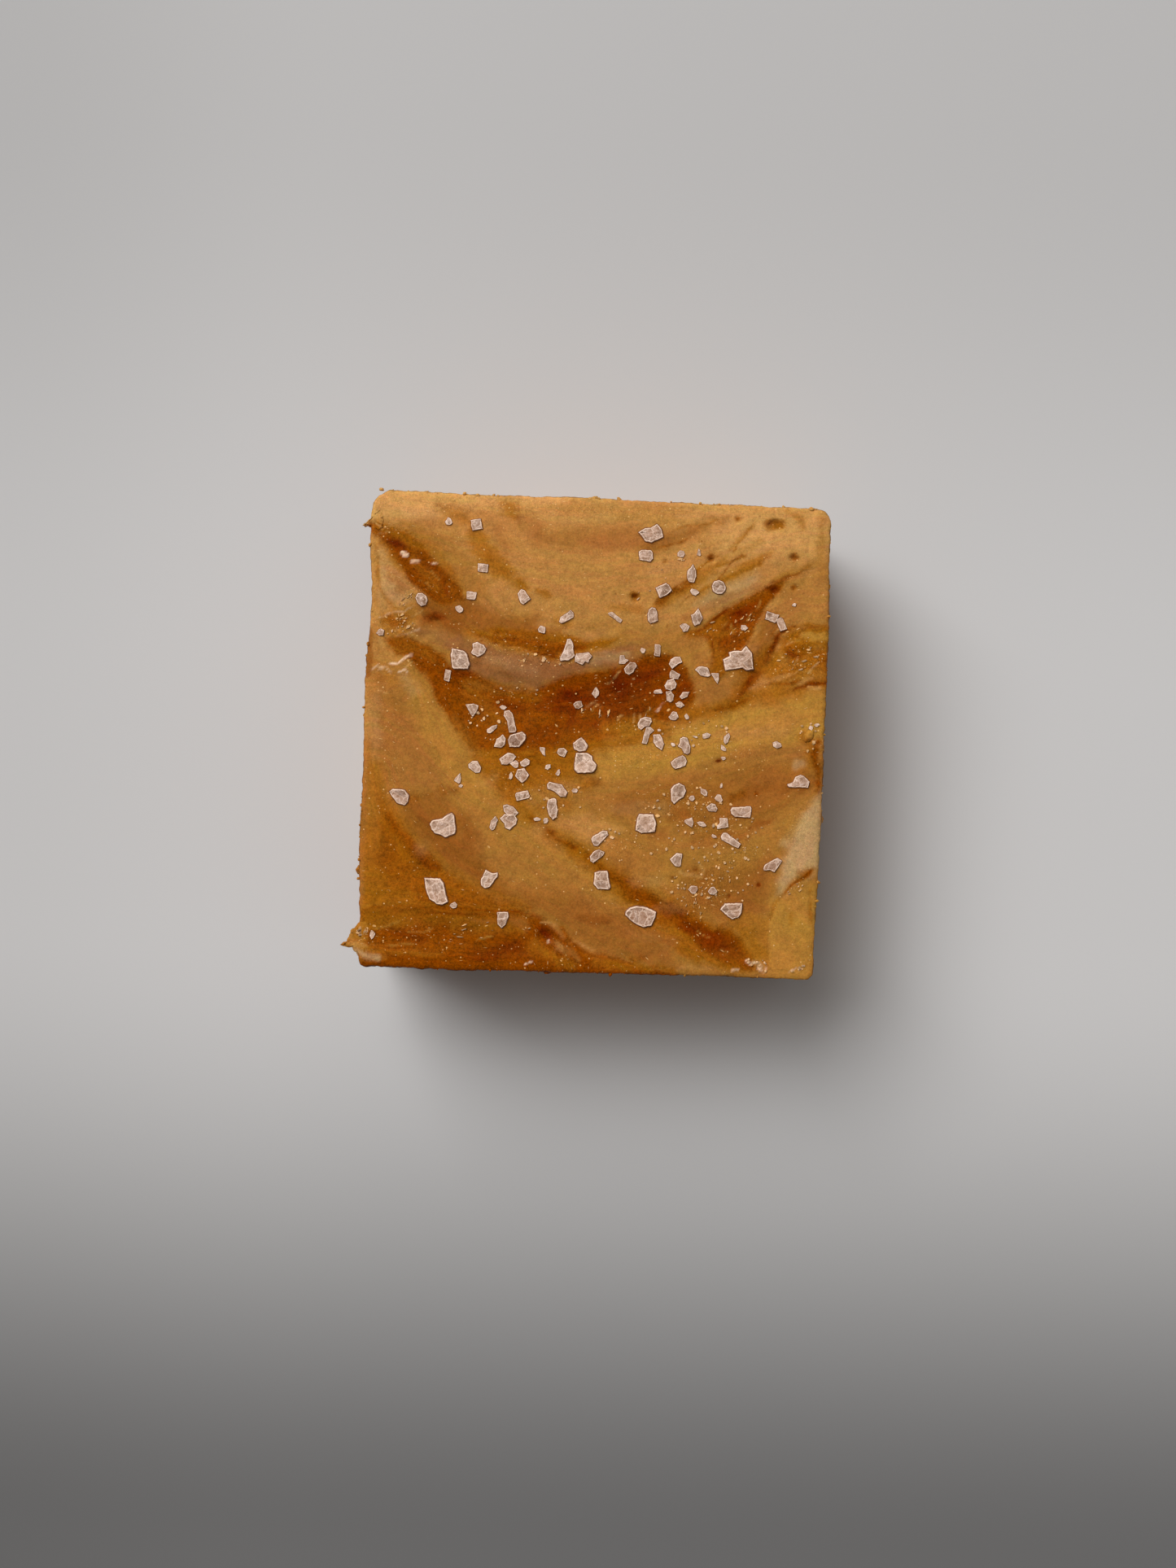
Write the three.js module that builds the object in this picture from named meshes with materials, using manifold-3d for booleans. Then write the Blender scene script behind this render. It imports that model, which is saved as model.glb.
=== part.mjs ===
// A knife-cut square of caramel swirl fudge with sea salt pressed into its top.
// Millimetres, +Z up: X runs across the square and Y along it. The origin is the middle of the flat base,
// and the marbled, salted face is on top.
import * as THREE from "three";
import { ConvexGeometry } from "three/addons/geometries/ConvexGeometry.js";
import { mergeVertices } from "three/addons/utils/BufferGeometryUtils.js";
import Module from "manifold-3d";

const wasm = await Module();
wasm.setup();

// The square: about one and a half inches across, cut from a slab three quarters of an inch thick.
const width = 38.4;
const length = 39.8;
const height = 19.0;
const rimRadius = 0.6;

// The top droops by this much towards its rim, over this distance.
const rimDroop = 0.25;
const droopReach = 1.8;

const cornerRadii = { backLeft: 1.9, backRight: 1.4, frontRight: 0.8, frontLeft: 0.6 };

// The base is a plain rectangle, and the soft shape of the walls takes over by this height.
const plainFoot = 1.5;

// How far each cut face stands from the middle, as [place along the edge, distance].
const leftFace = [[-17, 18.95], [-9, 19.2], [-4, 19.1], [3.5, 19.2], [11, 18.9], [16, 19.2]];
const rightFace = [[-17, 19.15], [-11, 19.3], [-4, 19.4], [2, 19.4], [9, 19.45], [16, 19.3]];
const frontFace = [[-16, 20.0], [-12, 20.05], [-4, 19.95], [5, 19.85], [12, 19.75], [17, 19.8]];
const backFace = [[-16, 19.95], [-10, 19.8], [-2, 19.9], [5, 19.8], [9, 19.75], [17, 19.7]];

// How far each wall bulges at its middle height, where the soft slab sagged or drew in under the knife.
const sag = { left: -0.15, right: 0.28, front: -0.1, back: -0.15 };

// The block is a box of cells, with a few narrow ones along the rim for its rounding.
const cellsAcross = 28;
const cellsUp = 8;
const rimCells = 3;

// Low swells and dips in the top: [x, y, half length, half width, turn in degrees, rise].
const swells = [
  [0, 14, 12, 4, 0, 0.25],
  [-17, 12.3, 3, 1.6, 110, 0.35],
  [-15, 14.3, 5.5, 1.4, -42, -0.3],
  [-6, 5.6, 6, 1.6, 5, 0.2],
  [-2, 2.8, 9, 2.6, 4, -0.35],
  [-11.5, 3.2, 4.5, 2.2, -35, -0.25],
  [11.3, 10, 4, 1.8, 38, -0.3],
  [14, 7, 5, 1.3, 62, -0.2],
  [9.5, 5.5, 2.5, 2.5, 0, 0.2],
  [6, -1, 9, 1.6, 12, 0.15],
  [18, -8, 4, 2.2, 90, 0.2],
  [-3, -10, 9, 4, -35, 0.15],
  [7, -14.6, 8, 1.4, -28, -0.2],
  [-10, -14.4, 7, 1.4, 0, 0.15],
  [-12, -17, 7, 1.4, -2, -0.25],
];

// Burst bubbles: [x, y, length, width, depth].
const pits = [
  [14.65, 18.1, 1.4, 1.1, 0.45],
  [3.2, 11.6, 0.9, 0.8, 0.3],
  [16.2, 15.5, 0.7, 0.6, 0.25],
  [9.4, 15.05, 0.7, 0.55, 0.25],
  [14.75, 12.7, 0.8, 0.6, 0.25],
  [-3.3, -16.8, 1.3, 1.0, 0.4],
];
const pitSides = 9;
const pitRings = 6;

// Salt as it lies, largest shapes first: [x, y, length, width, turn in degrees].
const saltBlocks = [
  [12.0, 6.9, 2.45, 1.5, 8], [4.6, -14.95, 2.5, 1.45, -20], [-12.6, -13.4, 2.4, 1.5, -65],
  [-12.1, -7.95, 2.1, 1.75, 15], [-0.65, -2.3, 1.75, 1.5, 90], [4.3, 17.1, 1.9, 1.25, 15],
  [-11.25, 6.0, 1.65, 1.5, -5], [4.7, -7.15, 1.55, 1.5, -5], [12.15, -14.2, 1.8, 1.25, 3],
  [1.25, -12.0, 1.55, 1.35, 90], [-6.35, -0.5, 1.6, 1.3, 0], [7.35, -2.0, 1.35, 1.0, 25],
  [-8.25, -12.25, 1.5, 1.1, 65], [7.8, -0.5, 1.5, 0.9, -65], [3.9, 15.15, 1.25, 0.95, -5],
  [5.5, 12.35, 1.15, 1.0, 30], [4.65, 10.2, 1.3, 0.9, 100], [-7.0, -15.6, 1.3, 0.85, 90],
  [-6.15, 11.35, 1.2, 0.85, -55], [7.4, -10.15, 1.1, 0.9, 60], [-6.95, -2.25, 1.2, 0.9, -15],
  [-6.65, -7.35, 1.15, 1.05, -35], [-6.75, -6.55, 1.15, 0.9, 10], [-10.3, 17.25, 0.95, 0.9, 8],
  [11.15, -7.0, 0.95, 0.9, 20], [2.95, 5.75, 0.9, 0.85, -40], [-9.65, 13.65, 0.9, 0.7, -5],
  [6.65, 6.4, 1.0, 0.75, 45], [6.6, 5.4, 0.85, 0.7, 0], [14.6, 10.45, 1.0, 0.75, -20],
];
const saltBars = [
  [12.6, -5.9, 1.75, 0.9, 3], [11.85, -8.35, 1.9, 0.75, -28], [-7.0, 1.0, 1.9, 0.65, -60],
  [-3.15, -6.2, 1.7, 0.9, 95], [-2.75, -4.6, 1.8, 0.8, -30], [0.9, -8.6, 1.55, 0.85, 40],
  [4.5, 0.2, 1.4, 0.55, 75], [-2.55, 9.85, 1.4, 0.6, 35], [1.55, 9.95, 1.25, 0.35, -35],
  [-5.7, -5.25, 1.15, 0.65, 20], [15.45, 9.85, 1.1, 0.6, -65], [5.15, 7.3, 1.0, 0.5, 90],
  [-12.3, 4.6, 0.95, 0.5, 80], [-8.4, 0.25, 0.95, 0.45, 35], [-6.45, -2.7, 0.9, 0.5, -35],
];
const saltPebbles = [
  [7.3, -4.4, 1.6, 1.25, 70], [-15.8, -5.7, 1.5, 1.2, -30], [8.35, 10.15, 1.4, 0.95, 80],
  [15.4, -10.3, 1.5, 0.85, 30], [-1.0, 6.4, 1.4, 0.95, 10], [-1.0, -0.8, 1.3, 1.1, 30],
  [10.05, 12.8, 1.2, 1.15, 0], [-9.8, 6.85, 1.2, 1.1, 0], [9.0, 5.7, 1.25, 0.8, -15],
  [-5.75, -3.5, 1.15, 1.0, 0], [0.75, -9.95, 1.15, 0.9, 35], [4.3, 1.3, 1.15, 0.8, 30],
  [-9.75, -2.95, 1.1, 0.95, 0], [-14.7, 10.85, 1.1, 0.85, -50], [-7.65, -0.75, 1.0, 0.85, 50],
  [-8.0, -7.65, 1.15, 0.6, 75], [6.4, 4.5, 0.95, 0.9, 0], [6.35, 3.45, 0.9, 0.65, -70],
  [7.2, 2.85, 0.8, 0.6, -15], [6.7, 1.85, 0.9, 0.75, 50], [-2.5, -1.5, 0.9, 0.8, 0],
  [0.15, 3.6, 0.95, 0.6, 75], [7.35, 9.3, 0.85, 0.7, 0], [7.55, 3.65, 0.85, 0.6, 20],
];
const saltShards = [
  [-2.3, 7.05, 1.9, 1.1, 90], [17.4, -3.2, 1.7, 1.0, 180], [7.75, 13.75, 1.4, 0.85, 90],
  [5.5, -0.3, 1.35, 0.85, -75], [-10.15, 1.8, 1.05, 0.95, -80], [-11.05, -3.95, 0.95, 0.55, 70],
  [-4.05, -1.5, 0.9, 0.45, -70], [10.15, 5.2, 0.95, 0.65, -75], [8.4, -7.0, 0.85, 0.75, -60],
];
const saltCrumbs = [
  [-12.65, 17.4, 0.65, 0.65, 0], [-10.55, 11.3, 0.8, 0.65, 0], [-11.5, 10.15, 0.8, 0.6, -35],
  [-18.0, 7.95, 0.75, 0.6, 20], [6.8, 15.4, 0.6, 0.6, -10], [-4.55, 8.7, 0.75, 0.65, -60],
  [3.95, 7.25, 0.5, 0.45, 0], [8.3, 15.6, 0.6, 0.35, 90], [8.05, 12.3, 0.75, 0.55, -10],
  [12.35, 9.5, 0.6, 0.5, 0], [16.45, 11.55, 0.4, 0.3, 20], [-7.55, 2.1, 0.6, 0.4, 0],
  [-10.85, -4.6, 0.4, 0.3, 0], [2.35, 6.4, 0.75, 0.65, 0], [-1.3, 2.5, 0.8, 0.7, 0],
  [5.35, 3.85, 0.8, 0.45, 3], [7.8, 1.85, 0.55, 0.35, -70], [5.55, 0.65, 0.35, 0.25, 0],
  [6.75, -0.5, 0.4, 0.35, 0], [0.05, -2.5, 1.1, 0.75, 90], [-3.6, -2.75, 0.5, 0.45, 45],
  [-2.75, -3.2, 0.65, 0.35, 60], [-5.5, -2.45, 0.85, 0.65, 35], [-6.7, -3.6, 0.6, 0.3, 80],
  [-1.3, -4.65, 0.65, 0.4, 0], [9.5, 0.35, 0.8, 0.5, 30], [8.6, 0.2, 0.4, 0.2, -15],
  [11.2, 0.15, 0.9, 0.5, 65], [10.95, -0.65, 0.6, 0.4, -45], [11.0, -1.5, 0.4, 0.3, 0],
  [15.45, -0.2, 0.8, 0.6, -20], [9.5, -4.4, 0.75, 0.5, -45], [8.5, -4.95, 0.55, 0.5, 0],
  [10.75, -4.85, 0.8, 0.6, -70], [10.2, -5.7, 0.95, 0.7, 0], [10.9, -3.8, 0.4, 0.2, 80],
  [18.2, 1.3, 0.5, 0.35, 35], [18.7, 1.55, 0.45, 0.3, 0], [-11.05, -14.6, 0.65, 0.55, 20],
  [-17.8, -17.3, 0.8, 0.45, 80], [-4.35, -7.15, 0.6, 0.35, 0], [-3.65, -7.25, 0.45, 0.45, 0],
  [9.4, -7.05, 0.85, 0.45, -15], [10.45, -8.05, 0.45, 0.3, -20], [8.9, -12.5, 0.8, 0.75, 0],
  [10.5, -12.6, 0.8, 0.75, 0],
];

// Shares of a grain's size: a shard's narrow end, the chips off a block's corners, and a pebble's bumps.
const shardEnd = 0.25;
const smallestChip = 0.08;
const chipRange = 0.3;
const cornerUnevenness = 0.1;
const blockFoot = 0.9;
const pebbleBumps = 0.28;

// Corners of a large pebble and of a small one, and the turn from each to the next, which spreads them.
const pebbleCorners = 12;
const crumbCorners = 9;
const goldenTurn = Math.PI * (3 - Math.sqrt(5));

// A grain stands as tall as this share of its width, and this share of its height is sunk.
const saltTallness = 0.8;
const saltSunk = 0.45;

// Torn wisps at the left corners, each a flat spike from a root inside the block to a tip beyond it.
const wispSides = 6;
const wisps = [
  { root: [-18.2, 16.9], tip: [-19.85, 16.75], breadth: 1.3, thickness: 0.7, drop: 0.9 },
  { root: [-18.2, -18.2], tip: [-20.6, -18.2], breadth: 1.2, thickness: 0.7, drop: 1.2 },
  { root: [-18.3, -17.3], tip: [-20.0, -17.45], breadth: 1.3, thickness: 0.8, drop: 1.0 },
  { root: [-18.4, -16.8], tip: [-19.55, -16.95], breadth: 1.2, thickness: 0.6, drop: 1.4 },
];

// Crumbs that the knife left along the rim: [x, y, length, width, turn in degrees, drop].
const rimCrumbs = [
  [-19.05, -11.95, 0.8, 0.8, 0, 0.9],
  [-0.6, 19.75, 0.9, 0.7, 0, 0.6],
  [17.5, 19.35, 0.8, 0.7, 20, 0.6],
  [19.2, 13.2, 0.8, 0.6, 80, 0.7],
  [19.2, -0.4, 0.9, 0.6, 90, 0.8],
  [19.25, -6.3, 0.9, 0.7, 90, 1.0],
  [18.0, 0.6, 1.3, 0.9, 60, 0.2],
  [17.3, -19.4, 1.0, 0.6, 0, 0.6],
  [-3.0, -19.75, 0.9, 0.7, 0, 0.8],
  [-4.5, -19.65, 0.9, 0.6, 10, 0.6],
];

const saltSeed = 20261;
const crumbSeed = 71;
const weldDistance = 1e-4;

const half = { x: width / 2, y: length / 2 };
const degree = Math.PI / 180;

// A repeatable stream of numbers from 0 to 1.
function drawFrom(seed) {
  let state = seed;
  return () => {
    state = (state * 16807) % 2147483647;
    return state / 2147483647;
  };
}

// Reads a face's distance at one place, passing smoothly from point to point.
function along(face, place) {
  const next = face.findIndex((point) => point[0] > place);
  if (next === 0) return face[0][1];
  if (next < 0) return face[face.length - 1][1];
  const [from, to] = [face[next - 1], face[next]];
  const share = THREE.MathUtils.smoothstep(place, from[0], to[0]);
  return THREE.MathUtils.lerp(from[1], to[1], share);
}

// The top's rise above the plain height.
function topRise(x, y) {
  let rise = 0;
  for (const [cx, cy, halfLength, halfWidth, turn, amount] of swells) {
    const cos = Math.cos(turn * degree);
    const sin = Math.sin(turn * degree);
    const u = ((x - cx) * cos + (y - cy) * sin) / halfLength;
    const v = ((y - cy) * cos - (x - cx) * sin) / halfWidth;
    rise += amount * Math.exp(-u * u - v * v);
  }
  const inset = Math.min(half.x - Math.abs(x), half.y - Math.abs(y));
  return rise - rimDroop * (1 - THREE.MathUtils.smoothstep(inset, 0, droopReach));
}

// The height of the top above the base, with the rounding along its rim.
function topHeight(x, y) {
  const inset = Math.max(0, Math.min(half.x - Math.abs(x), half.y - Math.abs(y)));
  const over = Math.max(0, rimRadius - inset);
  return height + topRise(x, y) - rimRadius + Math.sqrt(rimRadius ** 2 - over ** 2);
}

// Places along the square from -span / 2 to span / 2, crowded into the rim's rounding at both ends.
function acrossAt(share, span) {
  const cell = Math.round(share * cellsAcross);
  if (cell < rimCells) return (rimRadius * cell) / rimCells - span / 2;
  if (cell > cellsAcross - rimCells) return span / 2 - (rimRadius * (cellsAcross - cell)) / rimCells;
  const inner = (cell - rimCells) / (cellsAcross - 2 * rimCells) - 0.5;
  return inner * (span - 2 * rimRadius);
}

// Heights from the base up, crowded into the rim's rounding at the top.
function heightAt(share) {
  const below = cellsUp - Math.round(share * cellsUp);
  if (below <= rimCells) return height - (rimRadius * below) / rimCells;
  return ((height - rimRadius) * (cellsUp - below)) / (cellsUp - rimCells);
}

// Bends the square edge between two flat faces into a quarter circle.
function rounded(out, up) {
  const reach = Math.max(out, up);
  const scale = reach / Math.hypot(out, up);
  return [out * scale, up * scale];
}

function cornerRadius(x, y) {
  if (y > 0) return x < 0 ? cornerRadii.backLeft : cornerRadii.backRight;
  return x < 0 ? cornerRadii.frontLeft : cornerRadii.frontRight;
}

// Rounds the upright corners, and then the rim, at one point of the box.
function roundOff(point) {
  const inset = Math.min(half.x - Math.abs(point.x), half.y - Math.abs(point.y));
  const radius = cornerRadius(point.x, point.y) * THREE.MathUtils.smoothstep(point.z, 0, plainFoot);
  const outward = new THREE.Vector2();
  const dx = Math.abs(point.x) - (half.x - radius);
  const dy = Math.abs(point.y) - (half.y - radius);
  if (dx > 0 && dy > 0) {
    const [x, y] = rounded(dx, dy);
    point.x = Math.sign(point.x) * (half.x - radius + x);
    point.y = Math.sign(point.y) * (half.y - radius + y);
    outward.set(Math.sign(point.x) * x, Math.sign(point.y) * y).normalize();
  } else if (half.x - Math.abs(point.x) < half.y - Math.abs(point.y)) {
    outward.set(Math.sign(point.x), 0);
  } else {
    outward.set(0, Math.sign(point.y));
  }
  const out = 1 - inset / rimRadius;
  const up = 1 - (height - point.z) / rimRadius;
  if (out > 0 && up > 0) {
    const [newOut, newUp] = rounded(out, up);
    point.x -= outward.x * rimRadius * (out - newOut);
    point.y -= outward.y * rimRadius * (out - newOut);
    point.z = height - rimRadius * (1 - newUp);
  }
}

// Sets the four cut faces where the knife left them, and gives the top its swells.
function shapeFaces(point) {
  const { x, y, z } = point;
  const sideX = x > 0 ? along(rightFace, y) : along(leftFace, y);
  const sideY = y > 0 ? along(backFace, x) : along(frontFace, x);
  const belly = Math.sin((Math.PI * z) / height);
  const sagX = (x > 0 ? sag.right : sag.left) * belly;
  const sagY = (y > 0 ? sag.back : sag.front) * belly;
  const soft = THREE.MathUtils.smoothstep(z, 0, plainFoot);
  const nearX = soft * (Math.abs(x) / half.x) ** 4;
  const nearY = soft * (Math.abs(y) / half.y) ** 4;
  point.x += Math.sign(x) * nearX * (sideX - half.x + sagX);
  point.y += Math.sign(y) * nearY * (sideY - half.y + sagY);
  point.z += topRise(x, y) * (z / height) ** 3;
}

function fudgeBlock() {
  const box = new THREE.BoxGeometry(1, 1, 1, cellsAcross, cellsAcross, cellsUp);
  const places = box.getAttribute("position");
  for (let i = 0; i < places.count; i += 1) {
    const point = new THREE.Vector3(
      acrossAt(places.getX(i) + 0.5, width),
      acrossAt(places.getY(i) + 0.5, length),
      heightAt(places.getZ(i) + 0.5),
    );
    roundOff(point);
    shapeFaces(point);
    places.setXYZ(i, point.x, point.y, point.z);
  }
  return box;
}

// Corner points of a pebble one unit long, wide and tall, wound down from its top.
function pebblePoints(count, draw) {
  const points = [];
  for (let i = 0; i < count; i += 1) {
    const z = 1 - (2 * i + 1) / count;
    const turn = i * goldenTurn + draw() / 2;
    const ring = Math.sqrt(1 - z * z) * (1 + pebbleBumps * (draw() - 0.5));
    points.push(new THREE.Vector3(ring * Math.cos(turn), ring * Math.sin(turn), z).multiplyScalar(0.5));
  }
  return points;
}

// Corner points of a cube one unit across with chipped upper corners, its right end drawn in to a share.
function blockPoints(rightEnd, draw) {
  const points = [];
  for (const x of [-0.5, 0.5]) {
    for (const side of [-0.5, 0.5]) {
      const y = x > 0 ? side * rightEnd : side;
      const chip = smallestChip + chipRange * draw();
      points.push(new THREE.Vector3(x * (1 - chip), y, 0.5 - cornerUnevenness * draw()));
      points.push(new THREE.Vector3(x, y * (1 - chip), 0.5 - cornerUnevenness * (1 + draw())));
      points.push(new THREE.Vector3(x * blockFoot, y * blockFoot, -0.5));
    }
  }
  return points;
}

function grainPoints(kind, draw) {
  if (kind === "block") return blockPoints(1, draw);
  if (kind === "shard") return blockPoints(shardEnd, draw);
  return pebblePoints(kind === "pebble" ? pebbleCorners : crumbCorners, draw);
}

// A closed lump around some points, of a given size, turned and set down at one place.
function lump(points, size, turn, place) {
  const shape = new ConvexGeometry(points);
  shape.scale(size[0], size[1], size[2]);
  shape.rotateZ(turn * degree);
  shape.translate(place[0], place[1], place[2]);
  return shape;
}

function saltGrain(kind, [x, y, long, wide, turn], draw) {
  const tall = wide * saltTallness;
  const centre = topHeight(x, y) + tall * (0.5 - saltSunk);
  return lump(grainPoints(kind, draw), [long, wide, tall], turn, [x, y, centre]);
}

function salt() {
  const draw = drawFrom(saltSeed);
  const kinds = [
    ["block", [...saltBlocks, ...saltBars]],
    ["pebble", saltPebbles],
    ["shard", saltShards],
    ["crumb", saltCrumbs],
  ];
  return kinds.flatMap(([kind, grains]) => grains.map((grain) => saltGrain(kind, grain, draw)));
}

function wisp({ root, tip, breadth, thickness, drop }) {
  const level = height - drop;
  const run = new THREE.Vector2(tip[0] - root[0], tip[1] - root[1]).normalize();
  const points = [new THREE.Vector3(tip[0], tip[1], level)];
  for (let i = 0; i < wispSides; i += 1) {
    const angle = (2 * Math.PI * i) / wispSides;
    const side = (breadth / 2) * Math.cos(angle);
    const rise = (thickness / 2) * Math.sin(angle);
    points.push(new THREE.Vector3(root[0] - run.y * side, root[1] + run.x * side, level + rise));
  }
  return new ConvexGeometry(points);
}

function crumb([x, y, long, wide, turn, drop], draw) {
  return lump(grainPoints("pebble", draw), [long, wide, wide], turn, [x, y, height - drop]);
}

function pit([x, y, long, wide, depth]) {
  const bowl = new THREE.SphereGeometry(0.5, pitSides, pitRings);
  bowl.rotateX(Math.PI / 2);
  bowl.scale(long, wide, 2 * depth);
  bowl.translate(x, y, topHeight(x, y));
  return bowl;
}

// A three.js shape as a closed solid that can be joined and cut.
function solid(geometry) {
  const bare = new THREE.BufferGeometry().setAttribute("position", geometry.getAttribute("position"));
  if (geometry.index) bare.setIndex(geometry.index);
  const welded = mergeVertices(bare, weldDistance);
  return new wasm.Manifold(
    new wasm.Mesh({
      numProp: 3,
      vertProperties: welded.getAttribute("position").array,
      triVerts: new Uint32Array(welded.index.array),
    }),
  );
}

function shapeOf(body) {
  const mesh = body.getMesh();
  const shape = new THREE.BufferGeometry();
  shape.setAttribute("position", new THREE.BufferAttribute(mesh.vertProperties, 3));
  shape.setIndex(new THREE.BufferAttribute(mesh.triVerts, 1));
  shape.computeVertexNormals();
  return shape;
}

function fudge() {
  const draw = drawFrom(crumbSeed);
  let body = solid(fudgeBlock());
  for (const bubble of pits) body = body.subtract(solid(pit(bubble)));
  const added = [...wisps.map(wisp), ...rimCrumbs.map((row) => crumb(row, draw)), ...salt()];
  for (const piece of added) body = body.add(solid(piece));
  const paste = new THREE.MeshStandardMaterial({ color: 0xb0783c, roughness: 0.5, metalness: 0 });
  const mesh = new THREE.Mesh(shapeOf(body), paste);
  mesh.name = "fudge";
  return mesh;
}

const group = new THREE.Group();
group.add(fudge());

export default group;
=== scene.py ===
"""A knife-cut square of caramel swirl fudge with sea salt pressed into its top, on a plain pale floor."""

import itertools
import math

import bpy
import numpy as np
from mathutils.bvhtree import BVHTree
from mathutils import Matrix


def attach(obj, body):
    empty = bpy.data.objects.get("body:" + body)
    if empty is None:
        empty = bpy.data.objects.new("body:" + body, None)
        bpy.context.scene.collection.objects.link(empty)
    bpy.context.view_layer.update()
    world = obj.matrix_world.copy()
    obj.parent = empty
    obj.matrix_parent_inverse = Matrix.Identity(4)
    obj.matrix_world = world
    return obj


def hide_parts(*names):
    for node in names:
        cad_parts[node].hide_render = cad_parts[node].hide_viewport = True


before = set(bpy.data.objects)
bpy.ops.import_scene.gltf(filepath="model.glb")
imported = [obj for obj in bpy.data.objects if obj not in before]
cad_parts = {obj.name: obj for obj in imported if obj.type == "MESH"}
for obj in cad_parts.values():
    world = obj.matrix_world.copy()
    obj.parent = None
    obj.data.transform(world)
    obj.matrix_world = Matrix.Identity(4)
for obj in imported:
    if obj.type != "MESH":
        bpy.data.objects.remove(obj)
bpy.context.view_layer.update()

MM = 0.001

# The block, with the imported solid's main sizes and a crisper rim. All lengths are in millimetres.
WIDTH = 38.4
LENGTH = 39.8
HEIGHT = 19.0
HALF = np.array([WIDTH / 2, LENGTH / 2])
RIM_RADIUS = 0.35
RIM_DROOP = 0.1
DROOP_REACH = 1.2
# The walls grow plainer below this height, and at the base this share of their waves and corners is left.
PLAIN_FOOT = 1.5
FOOT_SHARE = 0.7
CORNER_RADII = {(-1, 1): 1.9, (1, 1): 1.4, (1, -1): 0.8, (-1, -1): 0.6}

# How far each cut face stands from the middle: (place along the edge, distance).
LEFT_FACE = [(-17, 18.95), (-9, 19.2), (-4, 19.1), (3.5, 19.2), (11, 18.9), (16, 19.2)]
RIGHT_FACE = [(-17, 19.15), (-11, 19.3), (-4, 19.4), (2, 19.4), (9, 19.45), (16, 19.3)]
FRONT_FACE = [(-16, 20.0), (-12, 20.05), (-4, 19.95), (5, 19.85), (12, 19.75), (17, 19.8)]
BACK_FACE = [(-16, 19.95), (-10, 19.8), (-2, 19.9), (5, 19.8), (9, 19.75), (17, 19.7)]
# How far each face swells out, or sinks in, at half its height.
SAG = {"left": -0.15, "right": 0.28, "front": -0.1, "back": -0.15}

# Cells across, along and down the block, and the rings that close its base.
ACROSS = 231
ALONG = 239
RIM_ROWS = 7
WALL_ROWS = 26
BASE_RINGS = 10

# Low swells and dips in the top: (x, y, half length, half width, turn in degrees, rise).
SWELLS = [
    (0, 14, 12, 4, 0, 0.25),
    (-17, 12.3, 3, 1.6, 110, 0.35),
    (-15, 14.3, 5.5, 1.4, -42, -0.3),
    (-6, 5.6, 6, 1.6, 5, 0.2),
    (-2, 2.8, 9, 2.6, 4, -0.35),
    (-11.5, 3.2, 4.5, 2.2, -35, -0.25),
    (11.3, 10, 4, 1.8, 38, -0.3),
    (14, 7, 5, 1.3, 62, -0.2),
    (9.5, 5.5, 2.5, 2.5, 0, 0.2),
    (6, -1, 9, 1.6, 12, 0.15),
    (18, -8, 4, 2.2, 90, 0.2),
    (-3, -10, 9, 4, -35, 0.15),
    (7, -14.6, 8, 1.4, -28, -0.2),
    (-10, -14.4, 7, 1.4, 0, 0.15),
    (-12, -17, 7, 1.4, -2, -0.25),
]

# Burst bubbles: (x, y, length, width, depth).
PITS = [
    (14.65, 18.1, 1.5, 1.15, 0.33),
    (3.2, 11.6, 0.95, 0.85, 0.24),
    (16.2, 15.5, 0.75, 0.65, 0.25),
    (9.4, 15.05, 0.75, 0.6, 0.25),
    (14.75, 12.7, 0.8, 0.6, 0.25),
    (-3.3, -16.8, 1.3, 1.1, 0.2),
    (11.55, 18.45, 0.55, 0.5, 0.15),
    (16.4, 12.9, 0.55, 0.5, 0.15),
    (7.25, -11.75, 0.45, 0.45, 0.12),
    (-13.4, 9.1, 1.2, 0.6, 0.2),
    (5.55, 14.75, 0.4, 0.4, 0.1),
    (13.5, 14.75, 0.45, 0.4, 0.1),
]


# A hair-thin line's half width and the softness of its edge.
HAIR_HALF_WIDTH = 0.05
HAIR_SOFTNESS = 0.14


def streak(ink, strength, softness, *points):
    """A brush stroke of one colour through points (x, y, half width), its edge soft over some millimetres."""
    return {"ink": ink, "strength": strength, "softness": softness, "line": points}


def patch(ink, strength, softness, *corners):
    """A filled outline of one colour, through corners (x, y), its edge soft over some millimetres."""
    return {"ink": ink, "strength": strength, "softness": softness, "outline": corners}


def hair(ink, strength, *places):
    """A hair-thin line of one colour through places (x, y)."""
    return streak(ink, strength, HAIR_SOFTNESS, *((x, y, HAIR_HALF_WIDTH) for x, y in places))


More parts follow.
